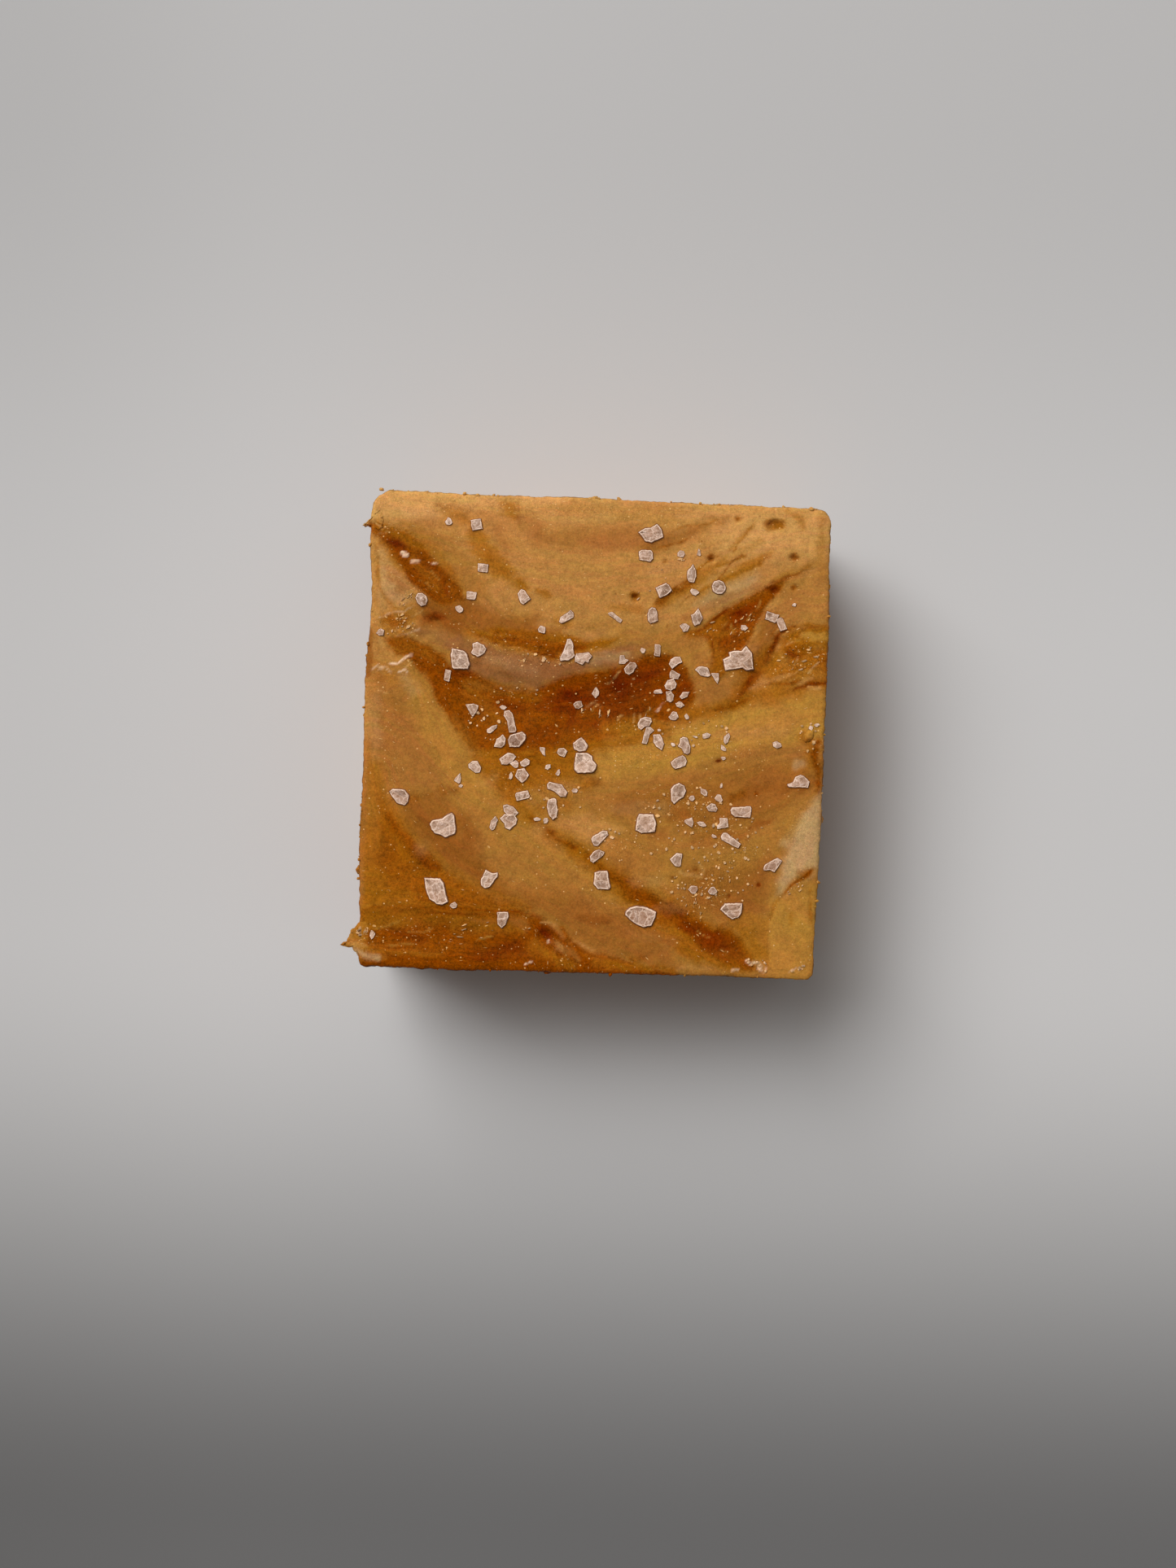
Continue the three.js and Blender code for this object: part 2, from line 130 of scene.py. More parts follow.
# The marbling as it lies on the top, painted over plain tan in this order.
MARBLING = [
    # Broad washes: brighter and more golden behind, browner in front.
    patch("sand", 1, 5, (-21, 3.5), (-12, 8.5), (0, 8.4), (8, 7), (14, 5), (21, 8), (21, -21), (-21, -21)),
    patch("pale", 0.8, 3, (7.5, 20), (19.6, 20), (19.6, 15.8), (15, 15.4), (10, 16.6)),
    streak("pale", 0.5, 1.6, (4.6, 14, 0.5), (6.6, 14.6, 0.5), (8, 15.8, 0.4)),
    streak("pale", 0.5, 1, (6.6, 18.4, 0.4), (8.4, 18.6, 0.4)),
    streak("pale", 0.5, 1, (14, 17, 0.4), (13, 18.6, 0.4)),
    streak("pale", 0.5, 1.4, (-5, 18.3, 0.4), (-2.4, 17.8, 0.3), (0.6, 18.4, 0.4)),
    patch("sand", 0.6, 2, (15, 14), (19.6, 15), (19.6, 9), (15, 9)),
    patch("sand", 0.9, 1.6, (-16.6, 17.4), (-14.6, 17), (-12.4, 16), (-10.8, 14.6), (-9.4, 12.6),
          (-9.2, 11), (-12.5, 11)),
    streak("tan", 0.9, 1.2, (-18.6, 3, 0.5), (-18.6, -1, 0.7), (-18.4, -6, 0.5)),
    patch("sand", 0.85, 2, (-1, 9.2), (4, 9.2), (9, 9.8), (10, 7), (7, 6), (1, 6)),
    patch("umber", 0.95, 1.6, (-15, 11.2), (-11, 11.4), (-9.6, 10), (-8.6, 8.2), (-11.5, 8), (-15, 8.2)),
    patch("brown", 0.9, 1.8, (-10.8, 10.8), (-8.6, 10.3), (-5, 9.7), (-5, 8.3), (-11, 8)),
    streak("tan", 0.7, 0.8, (-2.4, 8.8, 0.2), (-1, 8.4, 0.4), (1.4, 8.6, 0.3)),
    patch("straw", 0.95, 1.4, (1.5, -0.6), (4, 0.1), (7, 1), (10, 2.1), (13, 2.9), (16, 3.7), (19.6, 4.6),
          (19.6, 0.3), (16, -0.2), (13, -0.6), (10.4, -2), (7.5, -2.6), (4, -3.4), (1, -3.7), (-0.5, -2.8)),
    patch("brown", 0.75, 1.6, (19.6, -1.2), (16, -1.6), (12.8, -1.9), (10.2, -3.2), (6, -3.8), (2, -5.2),
          (2, -6.4), (6, -6.8), (9, -7.6), (12, -7.5), (15, -6.8), (16.2, -5.5), (17, -4.4), (19.6, -3.8)),
    streak("rose", 0.6, 1.4, (9.5, -2, 0.4), (12, -1.4, 0.5), (15, -0.9, 0.6), (18.5, -1, 0.5)),
    patch("straw", 0.45, 1.2, (-15.6, 5.2), (-14.8, 5), (-13.6, 3), (-12, 0.8), (-10, -2), (-8, -4.2),
          (-5.5, -7), (-3, -8.8), (0, -11), (1.2, -12.6), (-2, -11), (-5, -9.5), (-8, -7.6), (-10.6, -5.5),
          (-12.6, -3.3), (-14.2, -0.5), (-15.4, 2.4)),
    patch("tan", 1, 1.2, (-4.6, -7.4), (0, -6.8), (2.6, -7.6), (1.5, -9.2), (-1, -9), (-3.6, -9)),
    patch("rose", 0.65, 1.5, (-17.8, 4), (-16, 3.4), (-15.2, 1.4), (-14, -1.6), (-12.3, -4), (-13.5, -5),
          (-16.5, -5), (-17.8, -3), (-18.3, 0)),
    patch("brown", 0.95, 1.8, (-15.5, -5.4), (-12.5, -5), (-10.8, -7), (-9.3, -9), (-8.6, -11.5),
          (-6.5, -13), (-4, -14.2), (-6, -15), (-9, -14), (-11, -12.6), (-13.5, -10.8), (-15.3, -8.8),
          (-16.4, -7.4)),
    streak("umber", 0.6, 1.6, (-14.5, -7.5, 0.8), (-12, -9.5, 1), (-10, -11, 0.8), (-7.5, -13, 0.6)),
    streak("umber", 0.6, 1, (-10.4, -7.6, 0.6), (-9.8, -8.8, 0.5)),
    patch("brown", 0.8, 2, (-6, -13), (-2, -13), (1, -14), (4, -15), (6.5, -16.2), (8, -17.5), (7.5, -19.3),
          (2, -18.6), (-1, -17.5), (-3, -15.6), (-5.5, -14.8)),
    patch("umber", 0.6, 2, (8.6, -10.8), (12, -10.6), (15.4, -9.8), (15.3, -12), (15, -14.2), (12.5, -15.2),
          (9, -14.4), (8, -12.4)),
    patch("straw", 0.75, 1, (15.3, -13), (19.6, -12), (19.6, -20), (15.4, -20)),
    # The far rim and the rose band below it.
    patch("pale", 0.95, 1.2, (-20, 20.2), (-2, 20.2), (-3, 19.2), (-9, 18.8), (-14, 18), (-17.6, 17.5),
          (-19.5, 17.7)),
    patch("pale", 0.4, 1, (-2, 20.2), (8, 20.2), (8, 19.3), (-2, 19.3)),
    streak("rose", 0.8, 1.3, (-5, 16.3, 0.6), (-2, 16.4, 0.9), (1, 16.4, 1), (4, 16.6, 0.9),
           (5.4, 16.8, 0.5)),
    streak("rose", 0.45, 1, (-7.6, 18.6, 0.4), (-6.9, 17.6, 0.5), (-5, 17.2, 0.5)),
    streak("brown", 0.7, 1, (4, 16, 0.5), (5.8, 16.4, 0.45), (7.5, 17.2, 0.4), (9, 18.1, 0.35),
           (10.6, 18.6, 0.2)),
    streak("ochre", 0.8, 0.7, (-8.3, 19.2, 0.3), (-7.6, 18.8, 0.6), (-7.3, 18, 0.3)),
    streak("umber", 0.7, 0.3, (-6.95, 19.3, 0.06), (-6.85, 18.4, 0.1), (-6.8, 17.5, 0.04)),
    streak("rose", 0.6, 1.2, (-8.6, 17, 0.4), (-7.8, 15.4, 0.4)),
    streak("pale", 0.7, 2, (11, 16.2, 0.8), (13, 16.8, 1), (14.4, 18, 0.8)),
    streak("sand", 0.7, 1, (18.5, 19, 0.2), (18.5, 16.4, 0.4), (18.6, 14, 0.3)),
    streak("gold", 0.5, 0.8, (-13.6, 18.7, 0.2), (-12.4, 18.3, 0.5), (-11.4, 17.8, 0.55),
           (-10.6, 17.2, 0.3)),
    streak("gold", 0.8, 0.7, (-10.5, 16.7, 0.35), (-10, 16.1, 0.5), (-9.5, 15.2, 0.4)),
    streak("ochre", 0.9, 0.9, (-10.3, 16.8, 0.4), (-10, 15.7, 0.9), (-9.2, 14.6, 1), (-8.2, 13.6, 0.9),
           (-7.2, 12.9, 0.5), (-6.2, 12.5, 0.4)),
    streak("gold", 0.6, 0.6, (-9.3, 14.6, 0.3), (-8.2, 13.6, 0.45), (-7.6, 13, 0.3)),
    streak("gold", 0.7, 0.5, (-6.6, 12.7, 0.2), (-6.1, 12.3, 0.25)),
    streak("gold", 0.6, 0.5, (-4.8, 11.8, 0.2), (-4.2, 11.6, 0.25)),
    streak("ochre", 0.6, 0.6, (-3.4, 9.4, 0.3), (-2.2, 9.1, 0.4)),
    streak("gold", 0.5, 0.5, (16.5, 19, 0.15), (16.8, 18.5, 0.3), (17, 17.8, 0.2)),
    streak("ochre", 0.5, 0.4, (15.6, 19.4, 0.2), (16.4, 18.7, 0.15)),
    # The caramel vein from the far left corner, with its dark heart.
    patch("ochre", 0.7, 1.2, (-16.6, 16.8), (-15, 16.6), (-13.6, 15.4), (-12.6, 13.8), (-11.4, 12.7),
          (-11, 11.6), (-12.5, 12), (-14.5, 14)),
    patch("amber", 1, 0.5, (-19.6, 17.4), (-18, 16.9), (-16, 16.4), (-14.8, 15.4), (-13.6, 14.1),
          (-12.6, 13), (-11.2, 11.9), (-11.2, 10.9), (-12.5, 10.5), (-14, 10.8), (-14.9, 11.5),
          (-15.9, 12.6), (-16.8, 13.8), (-17.7, 14.9), (-18.6, 15.9), (-19.5, 16.6)),
    streak("gold", 0.75, 0.6, (-18.6, 16.9, 0.2), (-17.2, 16.4, 0.3), (-16, 16, 0.35), (-15, 15.3, 0.3)),
    streak("deep", 0.4, 0.6, (-15.2, 14.6, 0.2), (-13.8, 13.5, 0.3), (-12.8, 12.7, 0.2)),
    streak("black", 0.85, 0.4, (-17.6, 15.7, 0.2), (-17, 15.5, 0.28), (-16.3, 15.2, 0.15)),
    streak("deep", 0.7, 0.3, (-17, 15.1, 0.08), (-15.9, 14.5, 0.1), (-14.8, 14.2, 0.08)),
    streak("gold", 0.6, 0.4, (-18.3, 15.6, 0.15), (-17.4, 14.5, 0.2), (-16.4, 13.2, 0.15)),
    streak("gold", 0.5, 0.4, (-15.6, 14.3, 0.15), (-14.4, 13, 0.2), (-13.4, 12, 0.15)),
    streak("gold", 0.5, 0.4, (-13.2, 14.4, 0.1), (-12.3, 13.2, 0.15)),
    streak("deep", 0.7, 0.3, (-12.9, 12.4, 0.12), (-12.6, 11.4, 0.15)),
    patch("cream", 0.55, 1, (-18.7, 15), (-18, 14.8), (-16.8, 13), (-15.8, 11.8), (-15.6, 11),
          (-16.4, 10.4), (-17.4, 10.5), (-18.2, 11.6), (-18.6, 13.2)),
    streak("rose", 0.75, 0.8, (-18.2, 14.4, 0.2), (-17.4, 13, 0.4), (-16.4, 11.7, 0.6)),
    hair("pale", 0.6, (-18.5, 14.7), (-17.6, 13.6), (-17, 12.4), (-16.6, 11.2)),
    hair("pale", 0.5, (-18.4, 13.4), (-17.9, 12.2), (-17.2, 11)),
    hair("ochre", 0.7, (-18, 14.8), (-17, 13.6), (-16, 12.4)),
    hair("ochre", 0.6, (-18.6, 12.8), (-18, 11.4), (-17.2, 10.4)),
    hair("gold", 0.6, (-18.9, 14.4), (-18.6, 13.4), (-18.6, 12)),
    streak("tan", 0.7, 0.5, (-19, 14, 0.3), (-18.9, 11, 0.4), (-18.6, 9, 0.5)),
    streak("gold", 0.7, 0.25, (-18.7, 15.2, 0.08), (-18.45, 13.6, 0.08), (-18.3, 12, 0.08),
           (-17.7, 10.7, 0.1), (-17, 10, 0.08)),
    patch("ochre", 0.75, 0.9, (-17.8, 9.6), (-15.6, 10.3), (-14.6, 9.4), (-15.4, 8.3), (-17, 7.6),
          (-18, 8.2)),
    streak("amber", 0.7, 0.5, (-17.6, 9.1, 0.25), (-16.6, 8.8, 0.3), (-15.7, 9.3, 0.2)),
    streak("deep", 0.75, 0.5, (-14.4, 9.3, 0.2), (-13.4, 9.35, 0.35), (-12.8, 9.5, 0.15)),
    streak("mauve", 0.7, 1, (-15.4, 8.4, 0.3), (-13, 7.9, 0.5)),
    streak("rose", 0.5, 0.5, (-18.7, 8.4, 0.2), (-18.2, 6.6, 0.3), (-18.4, 5.6, 0.2)),
    streak("pale", 0.5, 0.4, (-18, 7.2, 0.15), (-17.6, 6.3, 0.2)),
    hair("pale", 0.6, (-16.4, 10.4), (-15.7, 11), (-15.4, 11.6)),
    hair("pale", 0.7, (-17.6, 10.3), (-16.6, 10.2), (-15.9, 10.6)),
    hair("glint", 0.3, (-18, 9.3), (-17, 9.7), (-16.1, 9.8), (-15.5, 10.2)),
    hair("pale", 0.7, (-16.9, 8.2), (-16, 8.3), (-15.2, 8.8)),
    hair("glint", 0.3, (-16.6, 7.7), (-15.5, 8), (-14.8, 8.4)),
    hair("pale", 0.7, (-16.2, 9.2), (-15.4, 9.4), (-14.6, 9.9)),
    hair("pale", 0.6, (-18.8, 17.1), (-18.2, 16.7), (-17.6, 16.9)),
    hair("pale", 0.5, (-18.6, 16.4), (-18, 16.2), (-17.7, 16.5)),
    hair("straw", 0.6, (-13.9, 13.2), (-13.3, 12.5)),
    hair("straw", 0.6, (-14.9, 12.4), (-14.3, 12.2), (-14, 11.8)),
    streak("ochre", 0.6, 0.3, (-18.6, 10.6, 0.1), (-18, 9.8, 0.12), (-17.6, 8.8, 0.1)),
    # The large caramel pool.
    patch("gold", 0.95, 1.2, (-11, 0), (-8, -0.5), (-5, -0.2), (-2, -0.6), (1, 0.8), (4, 1.3), (6.5, 1.3),
          (5.6, 0.2), (3.6, -0.5), (1.6, -1), (-0.5, -1.9), (-1.4, -3.4), (-3, -3.8), (-5, -4.4),
          (-6.6, -5.4), (-8, -4.2), (-9.2, -2.6)),
    patch("amber", 1, 0.5, (-17.5, 7.4), (-16.2, 7.7), (-15, 7.4), (-13.6, 6.8), (-12.7, 6.3), (-12.2, 5.3),
          (-10.5, 5.1), (-9.4, 4.6), (-8, 4.2), (-6.6, 3.8), (-5, 3.7), (-4, 4.2), (-3.2, 4.8), (-1.9, 5.1),
          (-0.6, 5.4), (0.8, 5.6), (2, 5.8), (2.9, 6.4), (3.8, 6.9), (5, 7), (6.8, 6.8), (7.8, 5.8),
          (8.2, 4.6), (8.6, 3.6), (8.1, 2.6), (7.3, 1.8), (6.2, 1.4), (4.8, 1.5), (3.4, 1.2), (2, 0.9),
          (0.6, 0.3), (-1, -0.6), (-2.6, -1), (-4.4, -1.4), (-6.2, -1.6), (-7.6, -1.4), (-8.8, -1.6),
          (-9.8, -1.7), (-10.6, -0.7), (-11.4, 0.1), (-12.1, 1.1), (-12.9, 2.2), (-13.7, 3.3), (-14.4, 4.3),
          (-15.1, 5.4), (-16.2, 6.3), (-17.3, 6.7)),
    streak("ochre", 0.5, 0.9, (-10.4, 4, 0.4), (-8.6, 3.8, 0.4), (-7, 3.4, 0.3)),
    streak("gold", 0.5, 0.6, (-16.6, 7.3, 0.15), (-15, 6.8, 0.2), (-13.6, 6, 0.2)),
    streak("deep", 0.75, 0.6, (-12.3, 4.9, 0.2), (-11.3, 4.8, 0.35), (-10.3, 4.7, 0.2)),
    streak("deep", 0.5, 1.4, (-6, -0.8, 0.4), (-3, 0.2, 0.8), (-1, 0.4, 0.5)),
    streak("deep", 0.85, 1.4, (-4.4, 2.6, 0.3), (-2.4, 3, 0.7), (0, 3.2, 1.3), (1.8, 3.6, 1.4),
           (3.4, 4.4, 1.3), (4.4, 5.4, 0.8), (5.4, 6, 0.4)),
    streak("deep", 0.6, 1.2, (3.2, 2.9, 0.7), (4.6, 3.4, 0.8), (6, 3.8, 0.5)),
    streak("deep", 0.6, 0.9, (-0.8, 0.5, 0.4), (0.6, 0.6, 0.4)),
    streak("deep", 0.7, 0.9, (6.8, 5.6, 0.4), (7.6, 4.6, 0.5), (7.4, 3.4, 0.4)),
    streak("deep", 0.6, 0.8, (-4.6, 2.4, 0.2), (-3, 1.6, 0.4), (-1, 1.3, 0.4), (0.4, 0.9, 0.3)),
    streak("black", 0.8, 0.9, (-2.8, 2.9, 0.3), (-2.1, 3.2, 0.5), (-1.6, 3.7, 0.25)),
    streak("black", 0.6, 0.5, (-1.2, 3.2, 0.1), (0.2, 3.1, 0.15), (1.2, 3.1, 0.12)),
    streak("black", 0.7, 0.9, (1.6, 4.9, 0.4), (2.2, 4.2, 0.5), (2.2, 3.2, 0.5)),
    streak("black", 0.5, 0.3, (1.9, 5.1, 0.08), (2.4, 5.8, 0.1), (3, 6.2, 0.06)),
    streak("black", 0.5, 0.6, (0.2, 0.9, 0.25), (0.4, 0.4, 0.15)),
    streak("black", 0.4, 0.8, (3.4, 4.8, 0.3), (5.4, 5.6, 0.3)),
    streak("cream", 0.35, 1, (-15.9, 4.4, 0.3), (-15, 3.2, 0.4)),
    streak("deep", 0.7, 1, (-9.4, 1.8, 0.4), (-7.6, 2.2, 0.5), (-6, 2, 0.3)),
    streak("deep", 0.9, 1, (-3, 2.2, 0.5), (-1.6, 1.8, 0.5), (-2, 0.4, 0.4)),
    streak("deep", 0.95, 0.9, (1.4, 2, 0.6), (3, 2.1, 0.5), (4.4, 2.3, 0.4)),
    streak("deep", 0.5, 0.8, (-8.6, -0.2, 0.3), (-7.6, -0.4, 0.3)),
    streak("amber", 0.8, 0.9, (-2, -0.2, 0.3), (0, -0.2, 0.4), (2, 0, 0.3)),
    streak("amber", 0.6, 0.9, (5, 0.3, 0.3), (6.4, 0.2, 0.3)),
    streak("amber", 0.7, 0.7, (-9.2, -0.6, 0.3), (-7.8, -0.6, 0.4)),
    streak("amber", 0.6, 1, (-7, -1.8, 0.5), (-5.6, -2.4, 0.5), (-4.2, -2.2, 0.3)),
    streak("amber", 0.6, 0.9, (-7.4, -3.6, 0.3), (-6, -4, 0.3)),
    streak("tan", 0.7, 0.7, (-9.2, -4.4, 0.2), (-8, -4.4, 0.4)),
    streak("tan", 0.5, 0.9, (-2.6, -4.3, 0.3), (-1.4, -4.1, 0.4)),
    streak("amber", 0.4, 0.7, (-0.4, -4.1, 0.3), (0.6, -3.9, 0.2)),
    streak("gold", 0.45, 0.9, (-10.6, 3.4, 0.3), (-9, 2.2, 0.4), (-7.6, 0.6, 0.3)),
    streak("gold", 0.35, 0.8, (-6.6, 3.2, 0.3), (-4.8, 3, 0.3)),
    streak("gold", 0.5, 0.7, (1.2, 0.6, 0.3), (2.8, 1.2, 0.3), (4.6, 1.9, 0.3)),
    streak("ochre", 0.6, 0.9, (1.4, -0.4, 0.3), (3, 0.2, 0.4), (5, 0.9, 0.4)),
    streak("gold", 0.7, 0.7, (7, 1.4, 0.3), (8.6, 2.3, 0.4), (10.2, 2.4, 0.3)),
    hair("glint", 0.7, (5.4, 2.3), (5.6, 2.7), (5.85, 2.9)),
    hair("pale", 0.8, (2.05, 1.3), (2.3, 1.7), (2.5, 1.6)),
    hair("pale", 0.9, (3.4, 1.3), (3.45, 2)),
    hair("pale", 0.9, (3.75, 1.5), (3.85, 2)),
    hair("pale", 0.6, (1.2, 4.3), (1.6, 4.8), (2.1, 5.5)),
    hair("straw", 0.7, (4.4, 2.2), (4.8, 2.4)),
    hair("straw", 0.6, (-0.1, 2), (0.3, 2.5), (0.7, 2.4)),
    streak("pale", 0.4, 0.15, (-0.6, 2.3, 0.06), (0, 2.7, 0.08), (0.6, 2.4, 0.06)),
    streak("ochre", 0.35, 0.7, (-11.6, 1, 0.2), (-10.4, -0.6, 0.3), (-9.2, -2, 0.2)),
    # The thin vein above the pool and the mauve tongue between the two.
    streak("brown", 0.8, 1.2, (-10.5, 8.9, 0.5), (-8, 8.7, 0.6), (-5, 8.5, 0.4), (-3, 8.4, 0.3)),
    patch("mauve", 0.95, 0.8, (-13.6, 8.1), (-11.5, 7.8), (-10.2, 7.5), (-9, 7.2), (-7, 6.9), (-5, 6.6),
          (-3.4, 6.2), (-1.8, 6), (-0.6, 6.5), (0.6, 7), (1.8, 7.4), (3.2, 7.9), (4.6, 8), (5, 7.4),
          (3.8, 7), (2.6, 6.2), (1.4, 5.7), (0.2, 5.6), (-1.2, 5.3), (-2.6, 4.9), (-3.8, 4.3), (-5, 3.8),
          (-6.4, 3.8), (-7.8, 4.2), (-9, 4.7), (-10.4, 5.3), (-11.8, 6.4)),
    patch("gold", 0.95, 0.45, (-10.6, 8.4), (-8, 8.7), (-5, 8.6), (-2, 8.2), (0, 8), (1.8, 8.2), (1.2, 7.5),
          (-0.5, 7.1), (-1.6, 6.9), (-2.6, 6.4), (-3.6, 6.3), (-5, 6.7), (-7, 7.1), (-8.8, 7.5)),
    patch("amber", 0.8, 0.6, (-10, 8), (-8.4, 8.4), (-5, 8.3), (-2.4, 7.7), (-1, 7.3), (-2.2, 6.8),
          (-3.4, 6.6), (-5, 7), (-7, 7.3)),
    streak("deep", 0.55, 0.6, (-4.6, 6.9, 0.1), (-3.4, 6.8, 0.25), (-2, 7.2, 0.25), (-1, 7.3, 0.1)),
    hair("gold", 0.8, (-9, 8.2), (-7, 8), (-5, 8), (-3.6, 8)),
    hair("deep", 0.7, (-9.6, 7.5), (-8, 7.4), (-6, 7.1), (-4.4, 6.6), (-3, 6.3)),
    hair("deep", 0.5, (-8.6, 7.9), (-7, 7.7), (-5.4, 7.6)),
    streak("tan", 0.8, 0.5, (-2.6, 8.6, 0.2), (-1, 8.35, 0.35), (0.6, 8.5, 0.3)),
    streak("cream", 0.4, 0.6, (-0.8, 6.2, 0.3), (1, 6.6, 0.4), (2.4, 6.8, 0.3)),
    streak("umber", 0.4, 0.6, (-9.8, 5.9, 0.3), (-8, 5.4, 0.4), (-7, 4.6, 0.3)),
    streak("cream", 0.25, 1, (-9, 6, 0.4), (-7, 5.6, 0.5), (-5, 5.2, 0.4)),
    streak("sand", 0.6, 1, (3.5, 7.3, 0.4), (5, 7.7, 0.4), (6.5, 7.8, 0.4), (8.3, 7.2, 0.5)),
    # The streaks at the far right, then the caramel wedge below them.
    streak("ochre", 0.85, 0.7, (4.8, 10.7, 0.2), (5.6, 11.4, 0.5), (6.8, 12.2, 0.5), (8.2, 13.2, 0.45),
           (9.4, 14.2, 0.35), (10.6, 15.2, 0.15)),
    streak("amber", 0.75, 0.4, (5.2, 11.4, 0.2), (6, 12, 0.22), (7.2, 12.6, 0.15), (8, 13.2, 0.05)),
    streak("ochre", 0.9, 0.6, (8.6, 11.9, 0.2), (9.8, 12.8, 0.45), (11.2, 13.7, 0.5), (12.4, 14.6, 0.45),
           (13.6, 15.4, 0.3), (14.6, 15.9, 0.1)),
    streak("gold", 0.7, 0.35, (10.2, 13.3, 0.15), (11.4, 13.9, 0.2), (12.6, 14.5, 0.15), (13.4, 15, 0.05)),
    streak("straw", 0.5, 0.6, (10.4, 14.9, 0.2), (12, 16, 0.3), (13.6, 16.8, 0.2)),
    streak("tan", 0.8, 1.2, (5, 9.6, 0.5), (6.6, 10.4, 0.7), (8.4, 11.4, 0.6)),
    streak("cream", 0.6, 0.8, (8.4, 11, 0.2), (10, 12, 0.7), (11.6, 12.7, 0.8), (13, 13.5, 0.5)),
    streak("rose", 0.6, 0.6, (7.4, 10.2, 0.2), (9, 11, 0.3), (11, 12, 0.3), (13.6, 13.2, 0.15)),
    hair("gold", 0.9, (8, 13.6), (8.4, 14.3), (9, 14.8), (9.5, 15.2), (9.9, 15.3)),
    hair("gold", 0.8, (9.8, 14.5), (10.8, 14.8), (12.2, 15.4)),
    hair("amber", 0.7, (10.1, 13.6), (10.6, 14.2), (11.2, 15), (11.9, 15.5)),
    hair("amber", 0.8, (5.3, 11.7), (6, 12), (6.6, 12.8), (7.5, 13.2), (8, 13.7)),
    hair("gold", 0.8, (7.4, 11.7), (8.2, 12.1), (9.2, 12.7)),
    hair("gold", 0.7, (10.4, 13.1), (11.4, 13.8), (12.6, 14.3), (13.6, 14.9)),
    hair("gold", 0.7, (11.2, 15.8), (11.8, 16.8), (12.6, 17.9), (13, 18.4)),
    hair("amber", 0.7, (4.9, 15.9), (5.8, 16.1), (6.6, 16.3), (7.3, 16.7)),
    hair("gold", 0.5, (6.2, 17.4), (7.2, 17.8), (8.6, 17.9), (9.8, 18.4)),
    streak("umber", 0.6, 0.2, (6.9, 11.1, 0.06), (7.2, 11.6, 0.08), (7.9, 12, 0.04)),
    streak("ochre", 0.6, 0.4, (10.9, 15.9, 0.12), (11.8, 17, 0.2), (12.8, 18, 0.1)),
    streak("umber", 0.6, 0.25, (5.8, 16.1, 0.1), (6.5, 16.35, 0.1), (7.2, 16.45, 0.08)),
    streak("ochre", 0.6, 0.6, (1, 10.8, 0.15), (2.2, 10.7, 0.35), (3.4, 10.6, 0.25)),
    streak("rose", 0.5, 1, (15.2, 13, 0.5), (16.2, 12, 0.8), (16.2, 10.8, 0.5)),
    patch("amber", 1, 0.4, (7.4, 8.8), (8.4, 9.1), (9.5, 9.9), (11, 11.1), (12.3, 11.9), (13.6, 12.6),
          (14.6, 13.4), (15.4, 13.5), (15.2, 12.8), (14.4, 11.8), (13.9, 11), (13.6, 10.2), (13.2, 9.4),
          (12.8, 8.4), (12, 7.4), (11, 6.6), (10.7, 5.6), (10, 5.4), (9.7, 6.4), (9.8, 7.6), (9.2, 8.4),
          (8.2, 8.6)),
    streak("gold", 0.5, 0.8, (9.9, 7.6, 0.2), (10.2, 6.4, 0.3), (10.4, 5.5, 0.15)),
    streak("gold", 0.8, 0.6, (7.8, 8.7, 0.1), (8.8, 8.9, 0.3), (9.8, 9.4, 0.4), (10.6, 10.1, 0.3)),
    streak("gold", 0.6, 0.7, (9.8, 8.2, 0.3), (10.2, 7.4, 0.3)),
    streak("deep", 0.8, 0.9, (11, 9.5, 0.4), (12, 10.2, 0.7), (12.9, 11.1, 0.35), (13.4, 11.7, 0.2)),
    streak("deep", 0.45, 0.9, (11, 8.4, 0.4), (12, 8.2, 0.3)),
    streak("black", 0.8, 0.4, (11.7, 10.7, 0.15), (12.2, 10.6, 0.12)),
    hair("deep", 0.9, (8.4, 8.9), (9.4, 9.6), (10.4, 10.5), (11.4, 11.2), (12.3, 11.8), (13.6, 12.4),
         (14.4, 13)),
    hair("deep", 0.8, (9.6, 6), (9.9, 7.4), (9.7, 8.6)),
    hair("straw", 0.8, (11.5, 9), (11.3, 9.4), (11.1, 9.8)),
    hair("straw", 0.8, (12.5, 10), (12.8, 10.6), (12.8, 11)),
    hair("straw", 0.7, (12.1, 9.1), (12.3, 9.6)),
    hair("straw", 0.7, (10.5, 9.4), (10.8, 9.9)),
    hair("straw", 0.6, (13.3, 11), (13.6, 11.8)),
    streak("gold", 0.5, 0.4, (11.2, 11.2, 0.15), (12.6, 11.9, 0.2), (13.8, 12.5, 0.1)),
    streak("gold", 0.5, 0.35, (9, 9.1, 0.1), (10.4, 8.9, 0.2), (11.6, 9.3, 0.1)),
    streak("amber", 0.85, 0.3, (14.8, 13.2, 0.15), (15.8, 13.8, 0.12), (16.7, 14.2, 0.1),
           (17.6, 14.8, 0.05)),
    streak("ochre", 0.5, 0.7, (15, 13.6, 0.2), (16.4, 14.3, 0.25), (18, 15, 0.1)),
    patch("umber", 0.75, 0.9, (13, 6.8), (13.1, 8.4), (13.4, 9.8), (14, 10.9), (15.2, 11), (15.6, 10),
          (15.2, 8.8), (14.4, 7.2)),
    patch("rose", 0.6, 1, (8.3, 7.3), (9.6, 7), (9.8, 5.6), (10.8, 5.4), (12.8, 5.9), (12.7, 5), (12, 3.8),
          (11, 3), (9.6, 2.7), (8.8, 3.2), (8.5, 4.6), (8.1, 6)),
    streak("amber", 0.6, 1, (14, 7.4, 0.3), (13.8, 6, 0.5), (14.6, 5.8, 0.3)),
